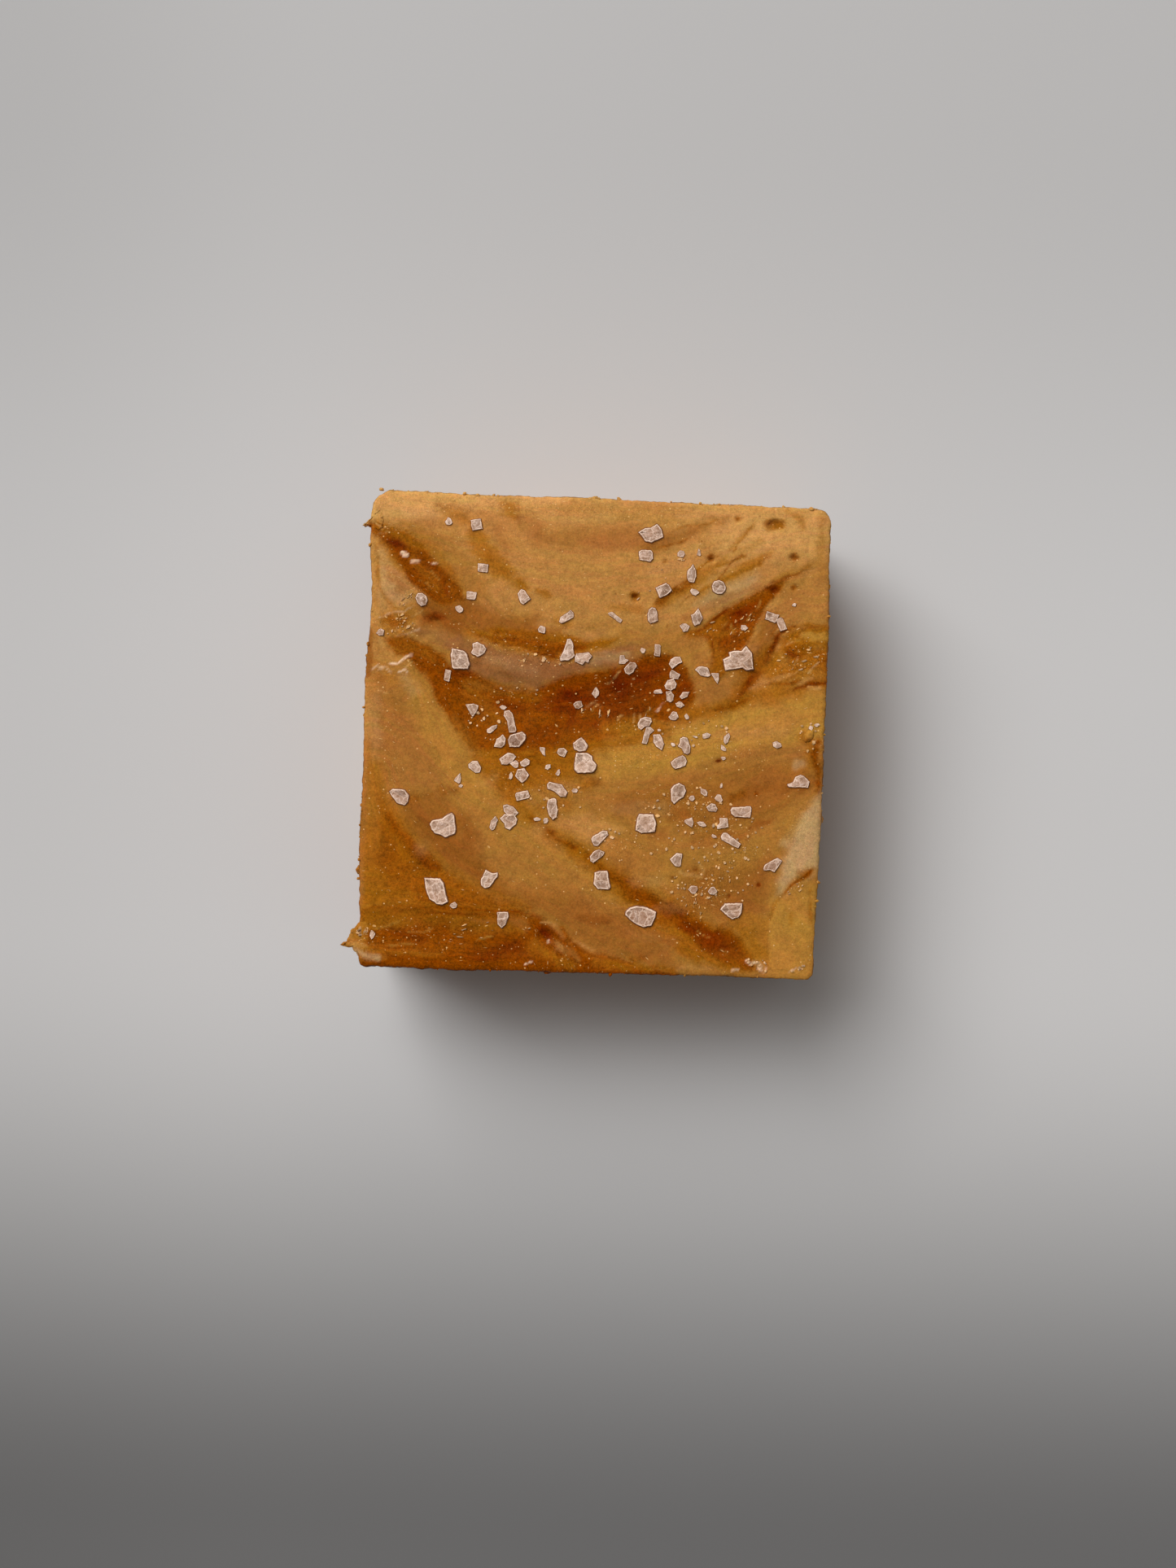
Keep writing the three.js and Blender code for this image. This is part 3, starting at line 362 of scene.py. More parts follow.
    streak("amber", 0.4, 1, (10, 6.6, 0.3), (10.2, 5.6, 0.3)),
    streak("gold", 0.75, 1, (14.4, 7.6, 0.4), (13, 5.4, 0.6), (11.6, 3.4, 0.5), (10, 2.4, 0.4),
           (8.2, 2.1, 0.3)),
    streak("amber", 0.95, 0.6, (16.4, 9.6, 0.15), (15.6, 9.3, 0.25), (15, 8.5, 0.35), (14.6, 7.5, 0.45),
           (14, 6.4, 0.55), (13.2, 5.2, 0.4), (12.5, 4.2, 0.3), (11.9, 3.3, 0.3), (11, 2.7, 0.2),
           (9.6, 2.3, 0.1)),
    streak("deep", 0.7, 0.25, (15.5, 9.2, 0.08), (14.9, 8.2, 0.1), (14.3, 7, 0.12), (13.7, 6, 0.14),
           (13, 5, 0.1), (12.3, 3.8, 0.1), (11.7, 3, 0.06)),
    patch("gold", 0.95, 0.9, (15.8, 9.5), (17.6, 10.1), (19.8, 10.3), (19.8, 5.4), (17, 5.3), (14.6, 5.2),
          (14.4, 6.4), (15.2, 7.8)),
    streak("amber", 0.6, 0.9, (15.8, 8.6, 0.3), (16.6, 7.6, 0.5), (17.2, 7.2, 0.3)),
    streak("deep", 0.5, 0.5, (16.2, 7.5, 0.2), (16.8, 7.3, 0.15)),
    streak("deep", 0.5, 0.8, (14.3, 6.8, 0.3), (13.9, 5.8, 0.3)),
    streak("rose", 0.5, 0.7, (14.1, 8.6, 0.3), (13.7, 7.4, 0.2)),
    streak("amber", 0.5, 0.8, (9.7, 6.4, 0.2), (10.1, 5.6, 0.3), (9, 5.8, 0.2)),
    streak("amber", 0.4, 0.8, (11.6, 6, 0.3), (12.6, 6, 0.3)),
    streak("straw", 0.6, 0.8, (17.2, 6.2, 0.2), (18.6, 5.9, 0.3)),
    streak("straw", 0.5, 0.7, (18, 8, 0.2), (18.9, 7.8, 0.3)),
    streak("ochre", 0.7, 0.9, (17, 6, 0.3), (18.4, 6.2, 0.5)),
    streak("ochre", 0.6, 0.7, (18.2, 8.8, 0.3), (18.8, 8.4, 0.3)),
    hair("pale", 0.8, (15.4, 5.2), (16.2, 5.6), (16.8, 5.9)),
    hair("pale", 0.7, (17.6, 5.9), (18.1, 6.2), (18.6, 6.7)),
    hair("pale", 0.6, (15.2, 7.6), (15.4, 8.2)),
    hair("straw", 0.7, (16, 8.4), (16.4, 8.7), (17, 8.6)),
    hair("straw", 0.8, (13.8, 5.4), (14.6, 5.6), (15.2, 5.9), (16.4, 6.1)),
    hair("straw", 0.7, (16.6, 6.6), (17.6, 6.7), (18.9, 7.4)),
    hair("straw", 0.6, (14.2, 4.6), (15.4, 4.6), (16.4, 4.7)),
    hair("deep", 0.7, (15.6, 9.4), (16.3, 9.8), (17.2, 9.6), (18.6, 9.9)),
    hair("deep", 0.7, (15.2, 5.4), (16.6, 6.2), (17.8, 6.3), (19, 6.9)),
    hair("amber", 0.8, (16.4, 9), (17.6, 8.9), (18.9, 9.4)),
    hair("amber", 0.7, (17, 7.8), (18, 8), (19, 8.6)),
    streak("amber", 0.6, 0.6, (18.6, 8.6, 0.2), (18.9, 7.4, 0.3)),
    streak("ochre", 0.8, 0.4, (14.6, 5.7, 0.15), (16, 6.2, 0.25), (17.4, 7, 0.2), (18.8, 8.2, 0.12)),
    streak("straw", 0.5, 0.3, (17.2, 9, 0.1), (18.2, 9.2, 0.12), (19.2, 9.4, 0.08)),
    streak("gold", 0.8, 0.8, (11.4, 2.9, 0.2), (13, 3.7, 0.4), (15, 4.3, 0.45), (17, 4.8, 0.35),
           (19.4, 5, 0.2)),
    streak("amber", 0.85, 0.3, (12.8, 4.5, 0.1), (14.4, 4.8, 0.15), (16, 4.95, 0.17), (17.6, 5.05, 0.17),
           (19.4, 5.1, 0.12)),
    streak("amber", 0.8, 0.25, (11.4, 2.9, 0.1), (12.6, 3.4, 0.12), (14, 3.75, 0.12), (15.4, 4.1, 0.12),
           (16.8, 4.5, 0.1)),
    streak("brown", 0.5, 0.5, (14.8, 5.3, 0.15), (16.4, 5.6, 0.2), (18, 5.7, 0.12)),
    # The golden band, then stains and lines at the right rim.
    patch("ochre", 0.9, 0.8, (13, 3.4), (15, 4.4), (17.4, 4.8), (17.4, 3.8), (15, 3)),
    streak("gold", 0.5, 0.6, (14.4, 3.9, 0.2), (16, 4.1, 0.3), (17, 4.3, 0.2)),
    streak("straw", 0.6, 0.3, (13.4, 4.1, 0.06), (15, 4.45, 0.08), (16.6, 4.7, 0.06)),
    streak("tan", 0.5, 0.8, (10, 0.4, 0.3), (13, 0.8, 0.4), (16, 0.8, 0.4)),
    streak("straw", 0.6, 0.8, (9, 0.6, 0.3), (12, 1.6, 0.4), (15, 2.4, 0.4)),
    streak("gold", 0.6, 0.7, (17.6, 0.6, 0.3), (18.4, -0.4, 0.4), (18.2, -1.6, 0.3)),
    streak("amber", 0.9, 0.4, (18.8, 0.2, 0.2), (18.6, -1, 0.25), (18.9, -2.4, 0.2), (19, -4, 0.15)),
    streak("cream", 0.6, 0.5, (17.2, -1.75, 0.35), (17.6, -1.7, 0.2)),
    streak("umber", 0.6, 0.8, (11.6, -4.7, 0.3), (13.4, -4, 0.35), (15.6, -3.6, 0.3), (18, -3.8, 0.25)),
    streak("amber", 0.5, 0.5, (12, -4.6, 0.25), (12.8, -4.4, 0.2)),
    streak("umber", 0.7, 0.7, (14, -6.8, 0.3), (15, -6.6, 0.3)),
    streak("umber", 0.5, 0.8, (6.8, -6.6, 0.3), (8.2, -6.2, 0.3)),
    streak("brown", 0.8, 1.2, (9, -8.2, 0.4), (10.6, -8, 0.6), (12.4, -8, 0.5)),
    streak("brown", 0.5, 1, (5.4, -8.2, 0.3), (6.4, -7.8, 0.4)),
    # The long vein from the pool down to the near rim.
    streak("gold", 0.8, 1, (-9.4, -2.2, 0.3), (-8.2, -3.8, 0.5), (-6.8, -5.3, 0.6), (-5.4, -6.6, 0.5)),
    streak("gold", 0.6, 1.2, (-4.6, -4.2, 0.5), (-2.4, -3.2, 0.6), (-0.4, -4, 0.4)),
    streak("gold", 0.5, 1.2, (-4, -6.2, 0.4), (-2, -5.6, 0.4)),
    streak("ochre", 0.7, 1.6, (-5.6, -6.8, 0.3), (-3, -8, 0.5), (-1, -9.2, 0.6), (1.4, -10.8, 0.5)),
    streak("gold", 0.95, 1.2, (-5, -7, 0.1), (-3.6, -8.1, 0.3), (-1.6, -9.4, 0.5), (0.4, -10.6, 0.7),
           (2.2, -12, 0.9), (4.4, -13.3, 1.1), (6.6, -14.4, 1.3), (8.6, -15.9, 1.5), (10.4, -17, 1.7),
           (12.4, -17.6, 1.6), (13.6, -17.8, 1)),
    streak("amber", 0.8, 0.4, (-4.9, -7.1, 0.1), (-3.6, -8, 0.15), (-2.2, -8.9, 0.15), (-1, -9.5, 0.2)),
    streak("amber", 0.9, 0.9, (0, -10.2, 0.15), (1.6, -11.4, 0.3), (3.4, -12.7, 0.45), (5.2, -13.6, 0.6),
           (6.8, -14.3, 0.7), (8.2, -15.4, 0.8), (9.6, -16.2, 0.9), (11.2, -17.2, 1), (12.6, -18, 0.7),
           (14, -18.7, 0.3)),
    patch("ochre", 0.8, 0.7, (12, -14.8), (13.6, -14.4), (15.2, -14.8), (15.4, -18.9), (14.2, -18.3),
          (13, -16.8)),
    streak("straw", 0.5, 1, (5.4, -12.4, 0.3), (6.4, -13.2, 0.3)),
    streak("gold", 0.5, 0.8, (12.6, -15.6, 0.4), (13.8, -16.4, 0.5), (14.6, -17.6, 0.4)),
    streak("straw", 0.6, 0.3, (15.45, -15, 0.1), (15.6, -17, 0.15), (15.5, -18.6, 0.1)),
    streak("gold", 0.7, 1, (4.4, -15.6, 0.3), (6, -15.8, 0.5), (7.6, -17, 0.5), (9.4, -18.2, 0.6)),
    patch("deep", 0.8, 0.8, (8, -15.2), (10, -15.9), (11.6, -16.1), (12.6, -16.9), (13.4, -17.8),
          (14.1, -18.7), (12.8, -18.5), (11, -18.1), (9.8, -17.4), (9, -16.6), (7.6, -15.7)),
    streak("deep", 0.7, 0.4, (6.9, -14.1, 0.15), (7.8, -14.5, 0.2), (8.2, -15.1, 0.12)),
    streak("deep", 0.8, 0.6, (11.2, -16.2, 0.4), (12.4, -16.8, 0.5), (13.4, -18, 0.3)),
    streak("deep", 0.5, 0.6, (5.6, -13.9, 0.2), (6.8, -14.6, 0.3)),
    streak("amber", 0.6, 0.7, (5.4, -14.8, 0.3), (6.8, -15.6, 0.3)),
    hair("straw", 0.7, (9.4, -16), (10, -16.4), (10.8, -16.6)),
    hair("straw", 0.6, (11.4, -17.4), (12, -17.9)),
    hair("deep", 0.7, (-11, -14.55), (-9, -14.3), (-7, -14.35), (-4.6, -14.6)),
    streak("black", 0.5, 0.5, (10.4, -16.2, 0.15), (11.2, -16.8, 0.2), (12, -17.5, 0.15)),
    streak("deep", 0.6, 0.3, (7.1, -13.9, 0.12), (7.5, -14.2, 0.15), (8, -15, 0.08)),
    # The left side: the amber field, and the folded caramel along the near rim.
    streak("ochre", 0.5, 1, (-18.7, 5.5, 0.2), (-17.6, 4.8, 0.4), (-16.8, 4, 0.3)),
    streak("ochre", 0.45, 0.7, (-18.5, 3, 0.2), (-18.1, 1, 0.2)),
    streak("brown", 0.4, 0.8, (-17, 2.4, 0.3), (-16, 1.4, 0.4)),
    patch("gold", 0.95, 1.8, (-18.6, -1.4), (-17.8, -3), (-17.2, -5.6), (-16, -7.4), (-14.6, -9.4),
          (-12.8, -11), (-10.6, -12.4), (-8, -13.6), (-5.4, -14.4), (-5, -15.4), (-19, -15.4), (-19.2, -8)),
    patch("amber", 0.45, 2, (-17.8, -7), (-17, -7.6), (-15.4, -9.4), (-13.8, -10.8), (-12, -12),
          (-10, -13.4), (-13, -14), (-16.4, -13), (-17.8, -11.4)),
    patch("amber", 0.6, 1.4, (-14.4, -13), (-11, -13.2), (-8, -14), (-5.4, -14.8), (-9, -15),
          (-14.4, -14.8)),
    streak("ochre", 0.9, 0.9, (-18, -2, 0.3), (-18.2, -5, 0.4), (-18.1, -8.4, 0.5), (-18.3, -11, 0.2)),
    streak("rose", 0.7, 0.4, (-18.9, -2, 0.15), (-18.85, -9, 0.2), (-18.9, -15.6, 0.15)),
    streak("amber", 0.7, 0.7, (-16.9, -7.4, 0.2), (-15.6, -9, 0.4), (-14.2, -10.3, 0.4),
           (-12.8, -11.4, 0.3)),
    streak("deep", 0.4, 0.6, (-15, -10, 0.2), (-13.8, -11, 0.3), (-13, -11.6, 0.15)),
    streak("amber", 0.6, 0.5, (-15, -5.7, 0.15), (-14.5, -5.8, 0.2)),
    streak("umber", 0.7, 0.6, (-12.8, -5, 0.2), (-11.8, -4.9, 0.3), (-11.1, -5, 0.15)),
    streak("ochre", 0.4, 0.5, (-18.7, -4, 0.15), (-18.6, -8, 0.2), (-18.6, -12, 0.15)),
    patch("amber", 1, 0.3, (-19.8, -16.6), (-18.6, -15.1), (-14, -14.9), (-9, -15), (-6.4, -15),
          (-4.6, -15.3), (-3.2, -15.8), (-2.2, -16.7), (-1.2, -17.5), (0.6, -18.5), (3, -19.1), (8, -19.6),
          (8, -20.4), (-20, -20.4)),
    patch("gold", 0.8, 1.2, (-18.8, -15.2), (-13, -15), (-7, -15.1), (-5, -15.6), (-7, -16.1), (-12, -15.9),
          (-16, -16.2), (-18.8, -16.6)),
    streak("brown", 0.7, 0.4, (-9.8, -15.7, 0.1), (-8.6, -15.9, 0.2), (-7.6, -16.1, 0.15)),
    streak("brown", 0.8, 0.7, (-6.2, -15.7, 0.2), (-5.4, -15.9, 0.4), (-5, -16.4, 0.2)),
    streak("amber", 0.9, 0.25, (-18, -15, 0.06), (-14, -14.8, 0.1), (-11, -14.85, 0.12), (-8, -14.9, 0.1),
           (-5.4, -15, 0.08)),
    streak("deep", 0.6, 0.25, (-14, -15.35, 0.06), (-11, -15.4, 0.1), (-8.6, -15.3, 0.08),
           (-7, -15.4, 0.05)),
    streak("deep", 0.5, 0.3, (-6, -14.95, 0.1), (-4.8, -15.1, 0.12), (-3.8, -15.4, 0.1)),
    streak("deep", 0.5, 0.7, (-16.4, -16.8, 0.2), (-15.2, -17.2, 0.4), (-13.6, -17.6, 0.3)),
    streak("gold", 0.6, 0.4, (-18.4, -16.8, 0.2), (-17, -16.4, 0.2), (-14.4, -16.2, 0.15)),
    streak("gold", 0.5, 0.4, (-17.8, -18.4, 0.3), (-15, -18.7, 0.2), (-12, -18.6, 0.1)),
    streak("straw", 0.5, 0.2, (-17.5, -16.9, 0.04), (-16.6, -16.6, 0.06), (-15.6, -16.1, 0.04)),
    streak("straw", 0.5, 0.2, (-14.8, -16.9, 0.04), (-13.6, -17, 0.05), (-12.8, -16.6, 0.04)),
    streak("straw", 0.7, 0.12, (-9, -17.4, 0.03), (-8.2, -17.1, 0.05), (-7.6, -17.05, 0.03)),
    streak("straw", 0.5, 0.2, (-16.6, -18.2, 0.04), (-15.4, -18, 0.06), (-14.2, -18.1, 0.04)),
    streak("gold", 0.7, 0.6, (-11, -16.3, 0.2), (-8, -16.3, 0.25), (-5.4, -16.4, 0.2)),
    streak("deep", 0.6, 1.2, (-9.6, -18.8, 0.3), (-7.6, -18.3, 0.5), (-5.8, -18, 0.6), (-4.4, -18.6, 0.4)),
    streak("black", 0.35, 0.8, (-8.2, -18.9, 0.3), (-6.8, -18.4, 0.3), (-5.6, -17.4, 0.2)),
    streak("deep", 0.8, 0.7, (-3.7, -16.4, 0.35), (-3.2, -16.9, 0.45)),
    streak("black", 0.6, 0.5, (-3.6, -16.7, 0.15), (-3.2, -16.9, 0.2)),
    streak("pale", 0.5, 0.2, (-3.7, -15.8, 0.08), (-3, -15.7, 0.1), (-2.4, -16, 0.08)),
    streak("pale", 0.5, 0.2, (-1.1, -17.2, 0.06), (0, -17.6, 0.1), (0.8, -18, 0.06)),
    streak("rose", 0.7, 0.4, (-2.9, -15.9, 0.1), (-2.2, -16.4, 0.2), (-1.9, -17, 0.15)),
    streak("brown", 0.9, 0.5, (-2.6, -17.4, 0.2), (-1.6, -18, 0.35), (-0.6, -18.7, 0.25)),
    streak("gold", 0.8, 0.5, (-4.2, -17.6, 0.2), (-3.4, -18.2, 0.3), (-2.4, -18.8, 0.3), (-1, -19.3, 0.2)),
    streak("amber", 0.9, 0.35, (-2, -16.2, 0.08), (-1.5, -17, 0.17), (-0.6, -17.8, 0.2), (0.4, -18.3, 0.22),
           (2, -18.7, 0.25), (4, -19, 0.25)),
    streak("gold", 0.8, 0.5, (1, -18.9, 0.2), (4, -19.2, 0.3), (7.6, -19.3, 0.2)),
    streak("ochre", 0.6, 0.5, (-19.4, -17.9, 0.2), (-18.4, -18.6, 0.3), (-16.6, -19.2, 0.2)),
    patch("ochre", 0.9, 0.7, (-21, -15.9), (-18.9, -16.1), (-18.2, -17), (-18.2, -18.4), (-19, -19.8),
          (-21, -20)),
    streak("tan", 0.7, 0.6, (-19.7, -17.2, 0.15), (-19.5, -18, 0.3), (-18.6, -18.2, 0.2)),
    streak("cream", 0.8, 0.5, (-19.1, -18.8, 0.2), (-18.2, -19.1, 0.25), (-17.2, -19.2, 0.15)),
    streak("pale", 0.7, 0.7, (-20.4, 16.9, 0.2), (-19.6, 17.3, 0.3), (-19, 17.9, 0.3)),
    streak("rose", 0.55, 1, (3.6, -16.2, 0.3), (5.6, -16.6, 0.5), (7, -17, 0.4), (6.6, -17.9, 0.3)),
    streak("umber", 0.5, 0.3, (4.6, -17.4, 0.08), (5.8, -17.3, 0.1), (6.9, -16.7, 0.08)),
    streak("umber", 0.7, 0.6, (-0.6, -15.2, 0.2), (0.6, -15.4, 0.3), (1.8, -15.4, 0.2)),
    streak("amber", 0.5, 0.5, (3.9, -18.4, 0.2), (4.8, -18.5, 0.2)),
    streak("tan", 0.7, 0.4, (7.8, -19.2, 0.15), (9, -19, 0.2), (10.4, -19.2, 0.15)),
    streak("cream", 0.5, 0.3, (14.2, -18.4, 0.12), (14.8, -18.9, 0.2), (15, -19.3, 0.12)),
    hair("glint", 0.4, (14.4, -18.5), (14.8, -18.8), (14.7, -19.1), (15.1, -19.4)),
    # The pale lobe at the right rim and the groove below it.
    patch("cream", 0.95, 1.2, (19.4, -3.9), (18.6, -4.9), (17.7, -5.8), (17.1, -7.2), (16.6, -8.8),
          (16.3, -10), (15.9, -11.4), (15.8, -12.7), (16.4, -12.8), (17.2, -12), (18.2, -11.1),
          (19.6, -10.3)),
    streak("sand", 0.5, 0.6, (17.9, -4.7, 0.2), (17.3, -6.2, 0.3), (16.5, -8.6, 0.3)),
    streak("gold", 0.8, 0.5, (16.3, -12.8, 0.12), (17, -12, 0.2), (17.9, -11.1, 0.25), (18.8, -10.5, 0.2)),
    streak("amber", 0.95, 0.2, (16.5, -12.6, 0.07), (17.1, -12, 0.12), (17.8, -11.3, 0.12),
           (18.7, -10.6, 0.12)),
    streak("gold", 0.6, 0.2, (18.7, -12.2, 0.06), (18.75, -14, 0.08), (18.9, -15.6, 0.05)),
    streak("gold", 0.5, 0.3, (16.1, -12.9, 0.1), (15.6, -13.8, 0.12), (15.3, -14.8, 0.08)),
    # Stained pits, small stains and dark specks.
    streak("gold", 0.95, 0.4, (14.25, 18.1, 0.45), (14.95, 18.1, 0.45)),
    streak("amber", 0.9, 0.3, (14, 18.25, 0.2), (14.3, 18.3, 0.15)),
    streak("gold", 0.8, 0.3, (11.5, 18.5, 0.2)),
    streak("amber", 0.85, 0.3, (16.25, 15.6, 0.3)),
    streak("amber", 0.85, 0.25, (9.3, 15.2, 0.28)),
    streak("gold", 0.9, 0.3, (3.2, 11.7, 0.4)),
    streak("amber", 0.9, 0.3, (3, 11.8, 0.15)),
    streak("amber", 0.8, 0.25, (16.4, 12.95, 0.2)),
    streak("deep", 0.8, 0.25, (14.75, 12.75, 0.3)),
    streak("gold", 0.7, 0.25, (5.5, 14.75, 0.12)),
    streak("gold", 0.6, 0.25, (13.5, 14.75, 0.16)),
    streak("ochre", 0.7, 0.25, (2.4, 12.95, 0.1)),
    streak("umber", 0.7, 0.2, (5.2, 15.95, 0.08)),
    streak("umber", 0.8, 0.25, (7.2, -11.7, 0.15)),
    streak("pale", 0.45, 0.2, (7.8, -11.2, 0.1), (8.8, -11.4, 0.14), (9.5, -11.5, 0.1), (9.7, -10.9, 0.08),
           (9.2, -10.2, 0.05)),
    streak("umber", 0.6, 0.2, (9.1, -12, 0.08), (9.8, -11.7, 0.1), (10, -11, 0.06)),
    streak("deep", 0.7, 0.3, (-3, -8.2, 0.15)),
    streak("deep", 0.6, 0.4, (-1.2, -9.4, 0.2)),
    streak("ochre", 0.6, 0.4, (-5, 12, 0.1), (-4.4, 11.8, 0.25)),
    streak("ochre", 0.5, 0.4, (-2.6, 9.5, 0.25)),
    # The dark pool at the left rim.
    patch("amber", 0.75, 0.25, (-17.2, 7.2), (-16.2, 7.5), (-15.2, 7.3), (-14.3, 6.8), (-14.6, 6.2),
          (-15.4, 6.3), (-16, 6.2), (-16.8, 6)),
    streak("ochre", 0.5, 0.3, (-16.9, 6.7, 0.15), (-16.2, 6.4, 0.1)),
    # The gold folds at the right rim.
    streak("tan", 0.5, 0.4, (14.1, 9.2, 0.3), (13.8, 8.7, 0.4), (13.4, 7.9, 0.25)),
    streak("straw", 0.75, 0.5, (17.2, 9.1, 0.25), (18.2, 8.9, 0.5), (19.2, 8.9, 0.4)),
    streak("straw", 0.4, 0.5, (15.6, 7.5, 0.2), (15.8, 6.8, 0.35)),
    streak("amber", 0.5, 0.5, (17.1, 8, 0.25), (18, 7.8, 0.3)),
    streak("deep", 0.7, 0.3, (16.2, 7.6, 0.2), (16.6, 7.4, 0.15)),
    streak("deep", 0.8, 0.22, (16.2, 9.4, 0.08), (15.3, 9, 0.2), (15, 8.3, 0.22), (14.7, 7.6, 0.22)),
    streak("deep", 0.7, 0.3, (14.4, 6.9, 0.3), (13.8, 6, 0.3), (13.3, 5.4, 0.25), (12.8, 4.8, 0.12)),
    streak("tan", 0.75, 0.22, (13, 4.4, 0.1), (14.2, 4.9, 0.22), (15.4, 5.4, 0.25), (16.3, 5.8, 0.12)),
    streak("tan", 0.75, 0.22, (16.9, 4.8, 0.12), (17.5, 5.2, 0.22), (18.2, 5.5, 0.12)),
    streak("deep", 0.75, 0.2, (16.6, 4.45, 0.1), (17.5, 4.7, 0.12), (18.2, 5.05, 0.12), (19.3, 5.1, 0.1)),
    streak("gold", 0.6, 0.25, (13.2, 4, 0.08), (14.6, 4.4, 0.12), (16.2, 4.6, 0.1)),
    streak("pale", 0.6, 0.2, (17.9, 4.75, 0.1), (18.8, 4.65, 0.15)),
    hair("cream", 1, (17.9, 5.9), (18.1, 6.3), (18.6, 6.8)),
    hair("pale", 0.8, (16.6, 6.6), (16.85, 7.2)),
    hair("pale", 0.8, (15, 9.1), (15.35, 9.5)),
    hair("pale", 0.7, (15.8, 8.2), (16.6, 8.55)),
    # Painted highlights on the wet caramel at the far left.
    streak("glint", 0.95, 0.12, (-16.5, 14.8, 0.1), (-16.3, 14.6, 0.2), (-16, 14.55, 0.12)),
    streak("glint", 0.7, 0.1, (-15.6, 14, 0.05), (-15.3, 14.1, 0.1), (-15, 14, 0.05)),
    streak("glint", 0.6, 0.1, (-13.9, 14, 0.07), (-13.6, 14.05, 0.08)),
    hair("glint", 1, (-17.1, 5.35), (-16.5, 5.5), (-16.15, 5.75), (-15.8, 6), (-15.4, 6.1)),
    hair("glint", 0.6, (-16.9, 5.3), (-16.2, 5.6), (-15.8, 5.9)),
    hair("glint", 0.5, (-18.8, 4.9), (-18.2, 5.2), (-17.6, 5)),
    hair("glint", 0.4, (-18.2, 4.8), (-17.4, 5), (-17, 4.7)),
    hair("glint", 0.7, (-16.4, 4.8), (-15.9, 5), (-15.6, 4.7)),
    hair("pale", 0.7, (-15.7, 5.2), (-15.3, 5.6)),
    hair("pale", 0.6, (-18, 3.2), (-17.5, 2.9), (-17.2, 3)),
    streak("glint", 0.6, 0.1, (-3.1, -17.3, 0.12)),
    # Small holes, painted dark as their shade, and dark specks.
    streak("deep", 0.9, 0.2, (10.6, -1.75, 0.14)),
    streak("deep", 0.8, 0.2, (14.25, -12, 0.14)),
    streak("deep", 0.8, 0.2, (11.85, -13, 0.1)),
    streak("deep", 0.7, 0.2, (13.95, -4.35, 0.08)),
    streak("deep", 0.6, 0.2, (13.4, -7.25, 0.1)),
    streak("deep", 0.7, 0.2, (5.9, 9.4, 0.05)),
    streak("deep", 0.7, 0.2, (9, -10.9, 0.08)),
    streak("umber", 0.6, 0.2, (15.7, -9.6, 0.06)),
    streak("gold", 0.6, 0.4, (17.1, -14.5, 0.15), (17.1, -15.1, 0.2)),
    streak("umber", 0.6, 0.5, (-13.5, -5.4, 0.1), (-12.2, -5.2, 0.15)),
    # Small changes of tone between the larger strokes.
    streak("gold", 0.4, 0.8, (-17.6, 6.4, 0.3), (-15.2, 6.7, 0.3)),
    streak("straw", 0.5, 0.6, (-14.4, 4.5, 0.25), (-13.6, 3.2, 0.25)),
    streak("tan", 0.5, 0.9, (-8.2, -4, 0.4)),
    streak("tan", 0.6, 0.9, (-4.2, -8, 0.5)),
    streak("amber", 0.45, 1, (11.4, -15.5, 0.4), (13.6, -17.8, 0.4)),
    streak("tan", 0.6, 0.9, (-2.2, -17.8, 0.4)),
    streak("gold", 0.5, 0.8, (-4.2, -18, 0.4)),
    streak("cream", 0.5, 0.8, (16.3, -8.4, 0.3)),
    streak("tan", 0.35, 2, (10, 0.2, 0.4), (14, 0.6, 0.6), (16.4, 1.6, 0.6)),
    streak("deep", 0.4, 1, (0, 3.6, 0.4), (2, 2.4, 0.5), (4, 2.2, 0.4)),
    streak("gold", 0.5, 1, (13.9, 9.4, 0.2), (13.8, 6.4, 0.3), (15.5, 4.2, 0.4)),
    streak("ochre", 0.6, 0.8, (9.6, 2.2, 0.4), (10.6, 2, 0.3)),
    streak("gold", 0.4, 1.2, (-18.2, -9, 0.4), (-18.2, -12.5, 0.4)),
    streak("sand", 0.5, 0.8, (18.5, 8.2, 0.3)),
    streak("cream", 0.2, 1, (-18, 12, 0.3), (-18, 10, 0.4)),
    streak("cream", 0.2, 1, (-18.2, 2.4, 0.3), (-18.1, 0, 0.4), (-18, -2.4, 0.4)),
    streak("cream", 0.15, 1, (-16.4, 18, 0.4), (-14, 18, 0.4)),
    streak("cream", 0.15, 1, (2, -6, 0.3), (4, -6, 0.6), (6, -6, 0.6)),
    streak("cream", 0.15, 1, (4, -12, 0.4), (6, -12, 0.3)),
    streak("cream", 0.15, 1, (-14, -10, 0.5)),
    streak("tan", 0.3, 1, (6, -14.2, 0.3), (8, -14, 0.5)),
    streak("pale", 0.3, 1, (14, 18, 0.4)),
    streak("umber", 0.35, 0.8, (-18.2, 4.2, 0.4)),
    streak("gold", 0.35, 0.8, (-10.4, 8.1, 0.4)),
    streak("gold", 0.3, 0.8, (-16, 8.2, 0.4)),
    streak("gold", 0.25, 1, (-18, -8, 0.4), (-18, -12, 0.5)),
    streak("gold", 0.3, 1, (10, 5.8, 0.3), (12, 6, 0.4), (14, 6.1, 0.5), (16, 6, 0.5), (18.4, 6.2, 0.5)),
    streak("gold", 0.2, 1, (8, -18, 0.4), (10, -18.2, 0.4), (14, -18, 0.4)),
    streak("amber", 0.3, 0.8, (-4.2, -18, 0.5)),
    streak("umber", 0.3, 1, (0, 4, 0.4)),
    # Painted shade: a dark strip along the left rim.
    streak("umber", 0.8, 0.22, (-19.1, 8.6, 0.1), (-18.85, 7.4, 0.3), (-18.85, 5.6, 0.3), (-19, 4.4, 0.15)),
